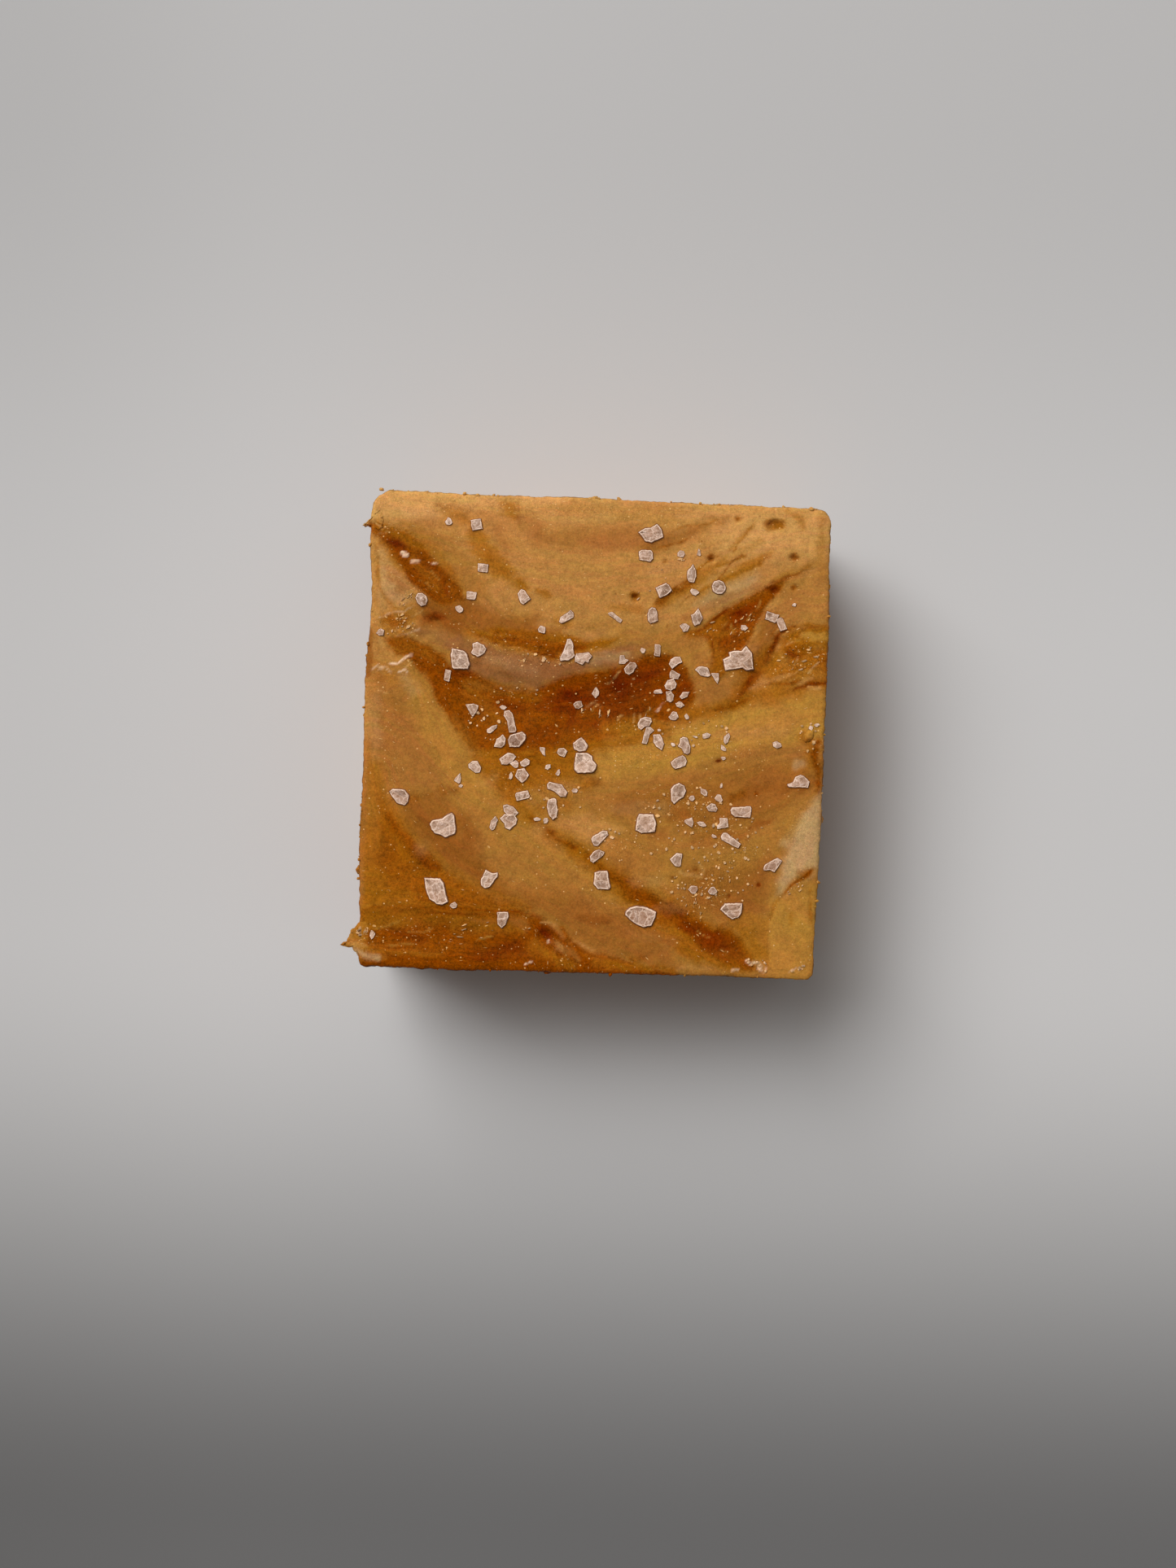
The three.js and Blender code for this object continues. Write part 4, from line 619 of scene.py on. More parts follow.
    # Small holes, painted dark as their shade, and pale crumbs with painted highlights.
    streak("black", 0.9, 0.16, (10.6, -1.72, 0.15)),
    streak("black", 0.8, 0.16, (11.9, -12.95, 0.12)),
    streak("deep", 0.9, 0.16, (14.3, -11.95, 0.16)),
    streak("amber", 0.9, 0.16, (13.85, -4.35, 0.1)),
    streak("deep", 0.8, 0.16, (3.2, 11.75, 0.2)),
    hair("glint", 0.9, (13.5, -18.3), (13.9, -18.6), (14.3, -18.5)),
    hair("glint", 0.9, (14.5, -18.9), (14.9, -19.1)),
    hair("glint", 0.8, (15.1, -18.7), (15.2, -19.1)),
    hair("glint", 0.8, (17.1, -19.1), (17.7, -18.8), (18.1, -18.9)),
    hair("glint", 0.7, (12.3, -19.2), (12.9, -19.1)),
    hair("glint", 0.7, (-4.9, -19.3), (-4.4, -19.1)),
    hair("glint", 0.7, (-18.9, -16.9), (-18.6, -17.1), (-18.2, -17)),
    hair("glint", 0.6, (-19.1, -17.2), (-18.8, -17.3)),
]

# Where golden specks and fibres lie thickest: (strength, softness, points of a stroke).
SPARKLES = [
    (0.8, 0.6, (-18.9, -17.3, 0.2), (-18.5, -17.5, 0.2)),
    (0.4, 1.5, (-18, -17.6, 0.6), (-15, -17, 0.8), (-12, -17.4, 0.6)),
    (0.6, 1, (-18.5, 16.8, 0.3), (-17, 16.6, 0.4)),
    (0.6, 1.2, (-17.5, 8.8, 0.7), (-15.5, 8.4, 0.6)),
    (0.6, 1, (-16.2, 10.5, 0.3), (-15.3, 11.5, 0.3)),
    (0.5, 0.8, (-14.2, 12.2, 0.3)),
    (0.7, 0.8, (-0.2, 2.2, 0.4), (0.6, 2.6, 0.3)),
    (0.3, 1.2, (-8, 3, 0.8), (-5.5, 2.6, 0.5)),
    (0.4, 1.2, (2, 1, 0.5), (4, 0.5, 0.6)),
    (0.4, 1.5, (11.5, 9, 1), (12.8, 10.8, 0.8)),
    (0.6, 1.5, (15.5, 6, 0.6), (18.6, 6.8, 0.8)),
    (0.4, 1.5, (9.8, -0.4, 0.6), (11.5, -1, 0.8), (16, -2, 0.6)),
    (0.5, 2, (5, -5.4, 1), (8.2, -5.8, 1.5), (11, -7.2, 1.5), (13, -9.5, 1.2)),
    (0.4, 1.5, (1.8, -9.2, 0.8), (4.2, -8.6, 1)),
    (0.7, 1.8, (11.5, -10.8, 1), (10, -12.6, 1.3), (8.8, -14.2, 0.8)),
    (0.4, 1.5, (6.4, -12.4, 0.8)),
    (0.3, 2, (-6, -4.6, 0.8), (-3, -5, 1), (0, -5.4, 0.8)),
    (0.7, 0.8, (-1.6, -18.9, 0.2), (0.4, -19.3, 0.2)),
    (0.5, 0.8, (17.4, -12.3, 0.3)),
    (0.4, 0.8, (-11.4, -4.2, 0.4)),
    (0.55, 1.5, (-10, 6.2, 0.5), (-6, 6.2, 0.8), (-2.5, 6, 0.7)),
    (0.35, 1, (-7.5, 7.8, 0.4), (-3, 7.4, 0.4)),
    (0.3, 1.5, (-17.6, 4.5, 0.6), (-16.8, 0, 0.8), (-16.5, -4, 0.6)),
    (0.4, 1.5, (16.5, 9, 0.8), (17.5, 7.5, 1), (17.5, 5.6, 0.5)),
    (0.35, 1.5, (1.5, -2, 0.6), (5, -1.4, 0.7), (9, 0.8, 0.5)),
    (0.3, 1, (-18, 18.8, 0.6), (-6, 18.9, 0.6), (6, 18.6, 0.6)),
    (0.3, 1.5, (17.6, -6, 0.8), (18, -10, 0.8)),
]

# How far the flow lines blend into each other.
FLOW_BLUR = 0.4
# Lines of equal number follow the flow of the marbling: (number, points).
FLOW = [
    (0, [(-19, 19.8), (19, 19.6)]),
    (3.2, [(-19, 17.6), (-10, 16.8), (0, 16), (7, 16.5), (12, 18.2), (19, 18.5)]),
    (8, [(-19, 16.5), (-15, 14.5), (-11, 11), (-7, 8.2), (-1, 7.8), (4, 8.5), (8, 10.3), (12, 12.6),
         (17.5, 14.7), (19, 15.2)]),
    (11, [(-19, 11), (-16.5, 8), (-12, 6), (-8, 4.5), (-3, 4.2), (1, 5.2), (4, 6.4), (7, 7.6), (9, 9),
          (12, 10.5), (14.8, 13), (19, 14)]),
    (16, [(-19, 6.5), (-15, 5), (-13, 3), (-11.5, 0.5), (-9.5, -2), (-6, -1.5), (0, 0), (4, 0.8), (8, 1.5),
          (11, 2.4), (13, 6), (15.2, 9), (17, 10), (19, 10)]),
    (17, [(8, 1.3), (11.5, 3), (14, 3.5), (16, 4.2), (18, 4.9), (19, 5.2)]),
    (20, [(-4, -2.5), (2, -3.5), (8, -2), (12, -1), (15, 0.5), (19, 0.5)]),
    (22.5, [(-2, -6.5), (4, -5.5), (9, -4.5), (14, -2.5), (19, -1.5)]),
    (24.5, [(3, -11.5), (8, -11.5), (13, -10), (16.5, -7), (19, -4.5)]),
    (26, [(-19, 4), (-15, 4), (-12, -0.5), (-9, -3.5), (-7, -4.5), (-5, -7), (-3, -8.3), (0, -10.2),
          (3, -12.3), (6.5, -14), (10, -16.2), (13.8, -18.7), (16, -19.8)]),
    (30, [(-19, -1), (-16, -2), (-12, -6), (-8, -10), (-4, -13), (0, -15.2), (4, -17), (8, -18.4),
          (11, -19.8)]),
    (34, [(-18, -3), (-17, -6), (-15.8, -8.5), (-14, -10), (-11.5, -12.5), (-8, -14), (-5, -15),
          (-2, -16.5), (0, -18), (3, -19.2), (4, -19.8)]),
    (38, [(-19, -15.4), (-12, -15), (-6, -15.3), (-4, -16.5), (-3, -18), (-2.5, -19.8)]),
    (43, [(-19, -19.8), (-6, -19.8)]),
]

# The larger salt crystals: (how clear, outline as it lies on the top).
CRYSTALS = [
    (0.15, [(10.65, 6.75), (10.9, 5.82), (12.3, 6.1), (12.65, 5.9), (13.25, 6), (13.05, 7.4), (12.55, 7.98),
            (12.2, 7.5), (11.55, 7.52), (11.15, 7.35), (11.2, 7.05)]),
    (0, [(-13.3, -7.85), (-13.1, -7.6), (-12.3, -7.4), (-11.85, -7.05), (-11.5, -6.9), (-11.3, -7.1),
         (-11.1, -8.3), (-11.2, -8.65), (-12, -8.97), (-12.4, -8.75), (-12.85, -8.65), (-13.15, -8.3)]),
    (0.6, [(3.3, -14.6), (3.6, -14.3), (4.1, -14.1), (5, -14.15), (5.85, -14.55), (5.8, -15), (5.5, -15.7),
           (4.8, -15.85), (4, -15.5), (3.3, -14.9)]),
    (0.25, [(-13.6, -12.4), (-12.3, -12.4), (-12, -12.75), (-11.55, -14.3), (-12, -14.6), (-12.45, -14.55),
            (-12.7, -14.35), (-13.1, -14.15), (-13.45, -13.3)]),
    (0, [(-1.45, -2.5), (-1.3, -1.5), (-0.4, -1.48), (0, -1.7), (0.1, -2.05), (0.42, -2.45), (0.38, -2.8),
         (0.1, -3.1), (-1.1, -3.2), (-1.4, -2.95)]),
    (0.15, [(-12, 6.85), (-11.1, 6.7), (-10.75, 6.5), (-10.45, 5.6), (-10.6, 5.17), (-11.8, 5.15),
            (-11.95, 5.3), (-12.08, 6.3)]),
    (0.4, [(3.2, 17.1), (3.75, 17.45), (4.25, 17.5), (4.75, 17.85), (5.15, 17.4), (5.3, 16.75),
           (4.3, 16.27), (3.8, 16.35), (3.55, 16.7)]),
    (0.2, [(3.95, -6.8), (4.15, -6.42), (5.3, -6.38), (5.6, -7.2), (5.5, -7.85), (4.4, -8.02),
           (3.88, -7.8)]),
    (0.5, [(11.2, -14.15), (11.55, -13.62), (13, -13.55), (13, -14.3), (12.75, -14.75), (12.2, -14.9),
           (11.9, -14.75), (11.5, -14.4)]),
    (0.35, [(0.6, -11.45), (0.95, -11.3), (1.65, -11.25), (1.8, -11.9), (1.97, -12.6), (1.85, -12.8),
            (0.9, -12.78), (0.55, -12.4)]),
    (0.1, [(-2.4, 7.95), (-2.15, 8.02), (-1.9, 7.6), (-1.82, 6.9), (-1.7, 6.6), (-2.2, 6.2), (-2.9, 6.1),
           (-2.95, 6.3), (-2.6, 7.2)]),
    (0.9, [(-7.05, -0.6), (-6.85, -0.2), (-5.9, 0.12), (-5.57, -0.15), (-5.6, -0.6), (-6.1, -1.2),
           (-6.9, -1.2)]),
    (0, [(6.7, -4.25), (6.95, -3.9), (7.35, -3.7), (7.8, -3.9), (7.98, -4.35), (7.8, -4.85), (7.3, -5.2),
         (7.05, -5.48), (6.78, -5.2)]),
    (0.25, [(-16.8, -5.3), (-16.5, -5.05), (-15.5, -5.12), (-15.13, -5.6), (-15.2, -6.15), (-15.5, -6.4),
            (-16.1, -6.25), (-16.5, -5.75)]),
    (0.1, [(16.42, -3.5), (16.85, -3.3), (17.1, -2.8), (17.5, -2.65), (17.8, -2.78), (18.25, -3.2),
           (18.15, -3.7), (16.5, -3.72)]),
    (0, [(-8.9, -12.5), (-8.5, -11.53), (-7.95, -11.8), (-7.5, -11.72), (-7.5, -12.05), (-8.1, -12.95),
         (-8.5, -13.1), (-8.85, -12.85)]),
    (0.15, [(11.75, -5.8), (11.85, -5.58), (13.4, -5.43), (13.5, -5.6), (13.4, -6.4), (12.1, -6.35),
            (11.85, -6.15)]),
    (0.15, [(-3.6, -6.1), (-3.5, -5.5), (-3.15, -5.35), (-2.85, -5.4), (-2.68, -6.4), (-2.75, -6.95),
            (-3.05, -7.15), (-3.45, -6.7)]),
    (0.1, [(-3.62, -4.2), (-3.45, -4), (-2.4, -4.2), (-1.9, -4.85), (-2.05, -5.2), (-2.5, -5.2),
           (-3.1, -4.75), (-3.6, -4.6)]),
    (0.5, [(-1.6, -0.7), (-1.3, -0.45), (-0.95, -0.2), (-0.65, -0.45), (-0.35, -0.85), (-0.5, -1.3),
           (-1, -1.4), (-1.5, -1.2)]),
    (0, [(11, -8.1), (11.2, -7.75), (11.45, -7.7), (12.73, -8.6), (12.5, -8.97), (11.1, -8.33)]),
    (0.1, [(9.5, 12.8), (9.7, 13.25), (10.1, 13.35), (10.45, 13.2), (10.67, 12.8), (10.6, 12.45),
           (10.4, 12.25), (10, 12.2), (9.6, 12.4)]),
    (0.1, [(6.6, -2), (7, -1.65), (7.55, -1.36), (7.8, -1.48), (7.95, -1.85), (7.85, -2.25), (7, -2.55),
           (6.8, -2.4)]),
    (0.3, [(7.35, 0), (7.55, 0.15), (7.9, 0.12), (8.2, -0.65), (8.15, -1.15), (7.95, -1.32), (7.65, -1.2),
           (7.5, -0.85), (7.15, -0.65), (7.3, -0.3)]),
    (0.1, [(7.87, 10.35), (8.1, 10.5), (8.43, 10.95), (8.87, 10.1), (8.6, 9.65), (8.2, 9.45), (8, 9.75)]),
    (0.05, [(-1.7, 6.5), (-1.6, 6.78), (-0.6, 6.93), (-0.25, 6.6), (-0.5, 6.3), (-0.58, 6.05),
            (-0.82, 6.15), (-1.05, 5.86), (-1.7, 6.1)]),
    (0.05, [(-10.3, 7.3), (-9.9, 7.45), (-9.35, 7.2), (-9.13, 6.9), (-9.3, 6.5), (-9.8, 6.2), (-10.4, 6.5),
            (-10.25, 6.9)]),
    (0, [(0.2, -8.65), (0.35, -8.4), (1.1, -7.95), (1.5, -7.92), (1.62, -8.25), (0.8, -9.18),
         (0.45, -9.2)]),
    (0.6, [(14.65, -10.6), (14.8, -10.25), (15.8, -9.65), (16.2, -9.9), (15.8, -10.55), (15.6, -10.85),
           (15.2, -10.7), (14.7, -10.73)]),
    (0.6, [(-7.45, 1.8), (-7.05, 1.85), (-6.75, 1.6), (-6.37, 0.2), (-6.45, 0.05), (-6.97, 0), (-7.2, 1),
           (-7.5, 1.4)]),
    (0.35, [(-7.5, -7.2), (-7.1, -6.85), (-6.3, -6.85), (-6, -7.2), (-6.1, -7.6), (-6.6, -8.14), (-7, -8),
            (-7.1, -7.6)]),
    (0.1, [(7.38, 13.4), (7.42, 14), (7.85, 14.57), (8.1, 14.1), (8.17, 13.6), (8, 13.05), (7.6, 13.12)]),
    (0.25, [(3.28, 15.45), (3.5, 15.62), (4.3, 15.62), (4.48, 15.4), (4.5, 14.9), (4.3, 14.65),
            (3.4, 14.78)]),
    (0.1, [(4.22, 10.2), (4.3, 10.65), (4.55, 10.87), (4.85, 10.82), (5, 10.5), (5.12, 9.75), (4.5, 9.5),
           (4.28, 9.72)]),
    (0.1, [(4.83, 12.5), (5.65, 12.95), (5.9, 12.78), (6.17, 12.35), (5.85, 12), (5.2, 11.65), (5, 12.05)]),
    (0.45, [(-6.33, -3.6), (-6.15, -3.05), (-5.6, -2.95), (-5.17, -3.5), (-5.4, -3.9), (-5.72, -4.17),
            (-6.05, -3.95)]),
    (0.1, [(5.08, 0.25), (5.62, 0.32), (5.87, -0.1), (5.97, -0.5), (5.83, -1.03), (5.35, -0.72),
           (5.1, -0.4)]),
    (0.2, [(-7.42, -15.05), (-6.5, -15), (-6.45, -15.4), (-6.7, -16.05), (-7, -16.38), (-7.35, -16.05)]),
    (0.25, [(-7.7, -2.25), (-7.05, -1.7), (-6.6, -1.78), (-6.3, -2), (-6.6, -2.4), (-7, -2.68),
            (-7.5, -2.7)]),
    (0, [(-6.85, -2.55), (-6.3, -2.3), (-6.1, -2.5), (-6.12, -2.88), (-6.4, -2.97)]),
    (0.1, [(-10.3, -2.8), (-9.95, -2.5), (-9.55, -2.48), (-9.2, -3), (-9.3, -3.45), (-9.65, -3.5),
           (-10.25, -3.05)]),
    (0.3, [(-7.25, -6.1), (-6.9, -6.02), (-6.4, -6.2), (-5.93, -6.68), (-6.2, -6.95), (-6.85, -6.9),
           (-7.15, -6.6)]),
    (0.3, [(0.17, -10.1), (0.45, -9.65), (0.9, -9.5), (1.35, -9.68), (1.25, -10), (0.75, -10.4),
           (0.45, -10.63), (0.22, -10.5)]),
    (0.15, [(-6.7, 11.6), (-6.4, 12), (-6.1, 11.88), (-5.57, 11.2), (-6.15, 10.7), (-6.4, 10.85)]),
    (0, [(8.35, 5.8), (8.6, 6.05), (8.9, 6.1), (9.4, 6.03), (9.67, 5.4), (9.45, 5.23), (8.9, 5.3)]),
    (0.05, [(-10.7, 2.2), (-10.05, 2.32), (-9.65, 2.15), (-9.7, 1.75), (-10.07, 1.2), (-10.3, 1.5)]),
    (0, [(6.83, -10.1), (7.4, -9.55), (7.87, -9.6), (7.75, -10.67), (7.25, -10.65)]),
    (0.2, [(-15.2, 10.95), (-15, 11.35), (-14.7, 11.38), (-14.3, 11.15), (-14.17, 10.8), (-14.3, 10.4),
           (-14.7, 10.25), (-15, 10.5)]),
    (0.2, [(3.75, 1.2), (3.95, 1.55), (4.35, 1.72), (4.8, 1.67), (4.93, 1.35), (4.7, 0.95), (4.35, 0.9),
           (4.05, 0.62), (3.8, 0.8)]),
    (0, [(-10.83, 17.6), (-9.98, 17.77), (-9.8, 16.92), (-10.65, 16.7)]),
    (0.15, [(10.85, -6.5), (11.5, -6.48), (11.6, -7.22), (10.7, -7.43), (10.65, -7.15), (10.9, -6.9)]),
    (0.2, [(5.85, 4.4), (6.1, 4.85), (6.6, 5), (6.87, 4.55), (6.75, 4.2), (6.4, 3.98), (6, 4.1)]),
    (0.25, [(6.4, 5.75), (6.8, 5.55), (7.15, 5.35), (6.95, 4.95), (6.3, 5.05), (6.22, 5.3)]),
    (0.25, [(6, 3.9), (6.4, 3.95), (6.68, 3.6), (6.65, 3.2), (6.4, 3), (6.1, 3.15)]),
    (0.2, [(7.15, 3.5), (7.4, 3.9), (7.95, 3.95), (7.8, 3.55), (7.35, 3.3)]),
    (0, [(-8.2, -1.25), (-8, -0.6), (-7.5, -0.2), (-7.22, -0.5), (-7.27, -1), (-7.55, -1.3)]),
    (0.1, [(-8.85, 0.2), (-8.35, 0.52), (-8, 0.62), (-8.05, 0.35), (-8.5, -0.12), (-8.8, -0.1)]),
    (0.05, [(-3.15, 9.4), (-3, 9.8), (-2.5, 10.15), (-2.25, 10.38), (-1.95, 10.2), (-1.97, 9.8),
            (-2.45, 9.45), (-2.95, 9.23)]),
    (0, [(4.45, 0.85), (4.8, 0.9), (5.13, 0.62), (4.8, 0.3), (4.55, -0.57), (4.12, -0.5), (4.3, 0.25)]),
    (0.5, [(2.45, 5.7), (2.9, 6.25), (3.35, 6.2), (3.5, 5.95), (3.2, 5.4), (2.85, 5.17), (2.55, 5.3)]),
    (0.05, [(2, 6.05), (2.05, 6.8), (2.4, 6.8), (2.5, 6.5), (2.78, 6.4), (2.5, 6.1)]),
    (0.05, [(6.15, 6.2), (6.3, 6.6), (6.6, 6.8), (7.07, 6.87), (7.25, 6.4), (6.85, 6.15), (6.45, 5.8)]),
]

# The smaller salt as it lies on the top: (x, y, length, width, turn in degrees).
SALT_BLOCKS = [
    (-9.65, 13.65, 0.9, 0.7, -5), (14.6, 10.45, 1.0, 0.75, -20), (1.55, 9.95, 1.25, 0.35, -35),
    (-5.7, -5.25, 1.15, 0.65, 20), (15.45, 9.85, 1.1, 0.6, -65), (5.15, 7.3, 1.0, 0.5, 90),
    (-12.3, 4.6, 0.95, 0.5, 80), (-10.55, 11.3, 0.8, 0.65, 0),
]
SALT_PEBBLES = [
    (-8.0, -7.65, 1.15, 0.6, 75), (7.2, 2.85, 0.8, 0.6, -15), (6.7, 1.85, 0.9, 0.75, 50),
    (-2.5, -1.5, 0.9, 0.8, 0), (0.15, 3.6, 0.95, 0.6, 75), (7.35, 9.3, 0.85, 0.7, 0),
]
SALT_SHARDS = [
    (-11.05, -3.95, 0.95, 0.55, 70), (-4.05, -1.5, 0.9, 0.45, -70), (10.15, 5.2, 0.95, 0.65, -75),
    (8.4, -7.0, 0.85, 0.75, -60), (8.3, 15.6, 0.6, 0.35, 90),
]
SALT_CRUMBS = [
    (-12.65, 17.4, 0.65, 0.65, 0), (-11.5, 10.15, 0.8, 0.6, -35), (-18.0, 7.95, 0.75, 0.6, 20),
    (6.8, 15.4, 0.6, 0.6, -10), (-4.55, 8.7, 0.75, 0.65, -60), (3.95, 7.25, 0.5, 0.45, 0),
    (8.05, 12.3, 0.75, 0.55, -10), (12.35, 9.5, 0.6, 0.5, 0), (16.45, 11.55, 0.4, 0.3, 20),
    (-7.55, 2.1, 0.6, 0.4, 0), (7.8, 1.85, 0.55, 0.35, -70), (5.55, 0.65, 0.35, 0.25, 0),
    (6.75, -0.5, 0.4, 0.35, 0), (-3.6, -2.75, 0.5, 0.45, 45), (-2.75, -3.2, 0.65, 0.35, 60),
    (-5.5, -2.45, 0.85, 0.65, 35), (-6.7, -3.6, 0.6, 0.3, 80), (-1.3, -4.65, 0.65, 0.4, 0),
    (9.5, 0.35, 0.8, 0.5, 30), (8.6, 0.2, 0.4, 0.2, -15), (11.2, 0.15, 0.9, 0.5, 65),
    (10.95, -0.65, 0.6, 0.4, -45), (11.0, -1.5, 0.4, 0.3, 0), (15.45, -0.2, 0.8, 0.6, -20),
    (10.75, -4.85, 0.8, 0.6, -70), (10.2, -5.7, 0.95, 0.7, 0), (10.9, -3.8, 0.4, 0.2, 80),
    (18.2, 1.3, 0.5, 0.35, 35), (18.7, 1.55, 0.45, 0.3, 0), (-11.05, -14.6, 0.65, 0.55, 20),
    (-17.8, -17.3, 0.8, 0.45, 80), (-4.35, -7.15, 0.6, 0.35, 0), (-3.65, -7.25, 0.45, 0.45, 0),
    (9.4, -7.05, 0.85, 0.45, -15),
]
CLEAR_CRUMBS = [
    (8.9, -12.5, 0.8, 0.75, 0), (10.5, -12.6, 0.8, 0.75, 0), (-1.3, 2.5, 0.8, 0.7, 0),
    (8.5, -4.95, 0.55, 0.5, 0), (9.5, -4.4, 0.75, 0.5, -45), (10.45, -8.05, 0.45, 0.3, -20),
    (-10.85, -4.6, 0.4, 0.3, 0), (5.35, 3.85, 0.8, 0.45, 3),
]
# Where sugar dust lies, round or, when stretched, as splinters:
# (x, y, half length, half width, turn in degrees, count, stretch).
DUST = [
    (9.5, -7.4, 5.2, 3.4, -10, 80, 1),
    (10.4, -12.6, 3.6, 2, 0, 50, 1),
    (9.4, -13.6, 1.6, 1.2, 60, 10, 3),
    (3, -9, 3, 1.5, 0, 14, 1),
    (8.4, 0.3, 3, 1.2, 10, 16, 1),
    (-2.6, -5.4, 2.6, 1.6, 0, 14, 1),
    (-6, 6.1, 3.6, 0.6, 0, 14, 1),
    (-6.4, 3.1, 3, 0.7, 0, 8, 1),
    (-9, 0.6, 1.6, 1.6, 0, 14, 1),
    (0.2, 2, 0.7, 1.4, 80, 9, 4),
    (-16.4, 8.6, 1.3, 0.8, 35, 14, 1.5),
    (-15.8, 10.8, 1, 0.5, 50, 7, 4),
    (12, 9.6, 1.4, 0.9, 62, 7, 4),
    (9.6, 9.4, 1, 0.5, 45, 4, 4),
    (17, 7, 1.9, 1.3, 28, 10, 3),
    (-9.5, -16.8, 6, 0.8, 8, 9, 4),
    (4.4, 1.5, 1.2, 0.5, 65, 6, 4),
    (5.2, 13.4, 3, 0.5, 40, 8, 2),
    (14.4, -18.6, 1.2, 0.5, -20, 14, 1),
    (17.8, -18.8, 1, 0.3, 10, 6, 1),
    (-18.7, -17, 0.6, 0.4, 0, 8, 2),
    (18, 0.4, 0.8, 1.4, 0, 10, 1),
    (17.4, -12.2, 0.7, 0.4, 30, 6, 2),
]

# Crumbs that the knife left along the rim: (x, y, length, width, turn in degrees, drop).
RIM_CRUMBS = [
    (-19.05, -11.95, 0.8, 0.8, 0, 0.9),
    (-0.6, 19.75, 0.9, 0.7, 0, 0.6),
    (17.5, 19.35, 0.8, 0.7, 20, 0.6),
    (19.2, 13.2, 0.8, 0.6, 80, 0.7),
    (19.2, -0.4, 0.9, 0.6, 90, 0.8),
    (19.25, -6.3, 0.9, 0.7, 90, 1.0),
    (18.0, 0.6, 1.3, 0.9, 60, 0.2),
    (17.3, -19.4, 1.0, 0.6, 0, 0.6),
    (-3.0, -19.75, 0.9, 0.7, 0, 0.8),
    (-4.5, -19.65, 0.9, 0.6, 10, 0.6),
]

# The inks that the fudge is painted with, in sRGB from 0 to 255.
PALETTE = {
    "tan": (184, 131, 70),
    "pale": (205, 155, 93),
    "straw": (181, 131, 57),
    "sand": (166, 114, 51),
    "cream": (187, 152, 107),
    "rose": (162, 104, 50),
    "brown": (150, 93, 36),
    "mauve": (145, 96, 55),
    "umber": (137, 79, 25),
    "ochre": (165, 107, 35),
    "gold": (151, 90, 12),
    "amber": (132, 64, 0),
    "deep": (111, 39, 0),
    "black": (90, 17, 0),
    # Painted highlights on wet caramel and on pale crumbs.
    "glint": (242, 208, 182),
}
# The colour that each caramel stains the fudge beside it.
BLEED = {"black": "deep", "deep": "amber", "amber": "gold", "gold": "ochre"}
# Strokes with a softness below this lose this share of their strength on the walls.
THIN_LINE = 0.2
THIN_LOSS = 0.85
# A stroke's edge wanders by this share of its softness, up to a limit.
WANDER = 0.55
WANDER_LIMIT = 0.45
# The stain beside caramel: its share of the stroke's strength, and the most that it adds to the soft edge.
STAIN = 0.5
STAIN_LIMIT = 0.3
# Golden flecks and brown freckles on the fudge, then the salt and the sugar dust.
FLECK = (236, 186, 120)
FRECKLE = (128, 72, 22)
SALT_BRIGHT = (222, 196, 182)
SALT_INSIDE = (190, 156, 134)
SALT_DARK = (152, 116, 90)
SALT_CLEAR = (128, 80, 46)
SALT_RIM_HIGHLIGHT = (250, 222, 202)
SALT_SEAM_AND_SHADE = (112, 58, 10)
SUGAR = (226, 176, 114)


def linear(colour):
    """An sRGB colour from 0 to 255 as the linear RGBA that a shader takes."""
    shares = np.array(colour) / 255
    bright = np.where(shares <= 0.04045, shares / 12.92, ((shares + 0.055) / 1.055) ** 2.4)
    return (*(float(share) for share in bright), 1.0)


def smooth(share):
    """Passes softly from 0 to 1."""
    share = np.clip(share, 0, 1)
    return share * share * (3 - 2 * share)


def turned(x, y, u, v, turn):
    """Where a point (u, v) comes to lie, turned by some degrees about the place (x, y)."""
    cos = math.cos(math.radians(turn))
    sin = math.sin(math.radians(turn))
    return x + u * cos - v * sin, y + u * sin + v * cos


def noise(points, seed):
    """Gradient noise from about -1 to 1 at each row of an array of points in space."""
    draw = np.random.default_rng(seed)
    table = draw.permutation(256)
    slopes = draw.normal(size=(256, 3))
    slopes /= np.linalg.norm(slopes, axis=1, keepdims=True)
    cell = np.floor(points).astype(int)
    local = points - cell
    fade = local**3 * (local * (local * 6 - 15) + 10)
    total = np.zeros(len(points))
    for corner in itertools.product((0, 1), repeat=3):
        at = (cell + corner) & 255
        key = table[(table[(table[at[:, 0]] + at[:, 1]) & 255] + at[:, 2]) & 255]
        reach = ((local - corner) * slopes[key]).sum(axis=1)
        weight = np.where(corner, fade, 1 - fade).prod(axis=1)
        total += weight * reach
    return total * 1.6


def layered_noise(points, seed, layers=3):
    """Noise with finer and fainter layers on top."""
    total = np.zeros(len(points))
    for layer in range(layers):
        total += noise(points * 2.1**layer, seed + layer) * 0.5**layer
    return total


def along(face, places):
    """Reads a face's distance at some places, passing smoothly from point to point."""
    stops = np.array(face, float)
    last = len(stops) - 1
    after = np.clip(np.searchsorted(stops[:, 0], places), 1, last)
    start = stops[after - 1]
    end = stops[after]
    share = smooth((places - start[:, 0]) / (end[:, 0] - start[:, 0]))
    return start[:, 1] + share * (end[:, 1] - start[:, 1])


def top_rise(x, y):
    """The top's rise above the plain height."""
    rise = np.zeros_like(x)
    for cx, cy, half_length, half_width, turn, amount in SWELLS:
        u, v = turned(0, 0, x - cx, y - cy, -turn)
        rise += amount * np.exp(-((u / half_length) ** 2) - (v / half_width) ** 2)
    inset = np.minimum(HALF[0] - np.abs(x), HALF[1] - np.abs(y))
    return rise - RIM_DROOP * (1 - smooth(inset / DROOP_REACH))


def corner_radius(x, y):
    """The radius of the upright corner nearest to each place."""
    radius = np.zeros_like(x)
    for (side_x, side_y), value in CORNER_RADII.items():
        near = (np.where(x < 0, -1, 1) == side_x) & (np.where(y > 0, 1, -1) == side_y)
        radius[near] = value
    return radius


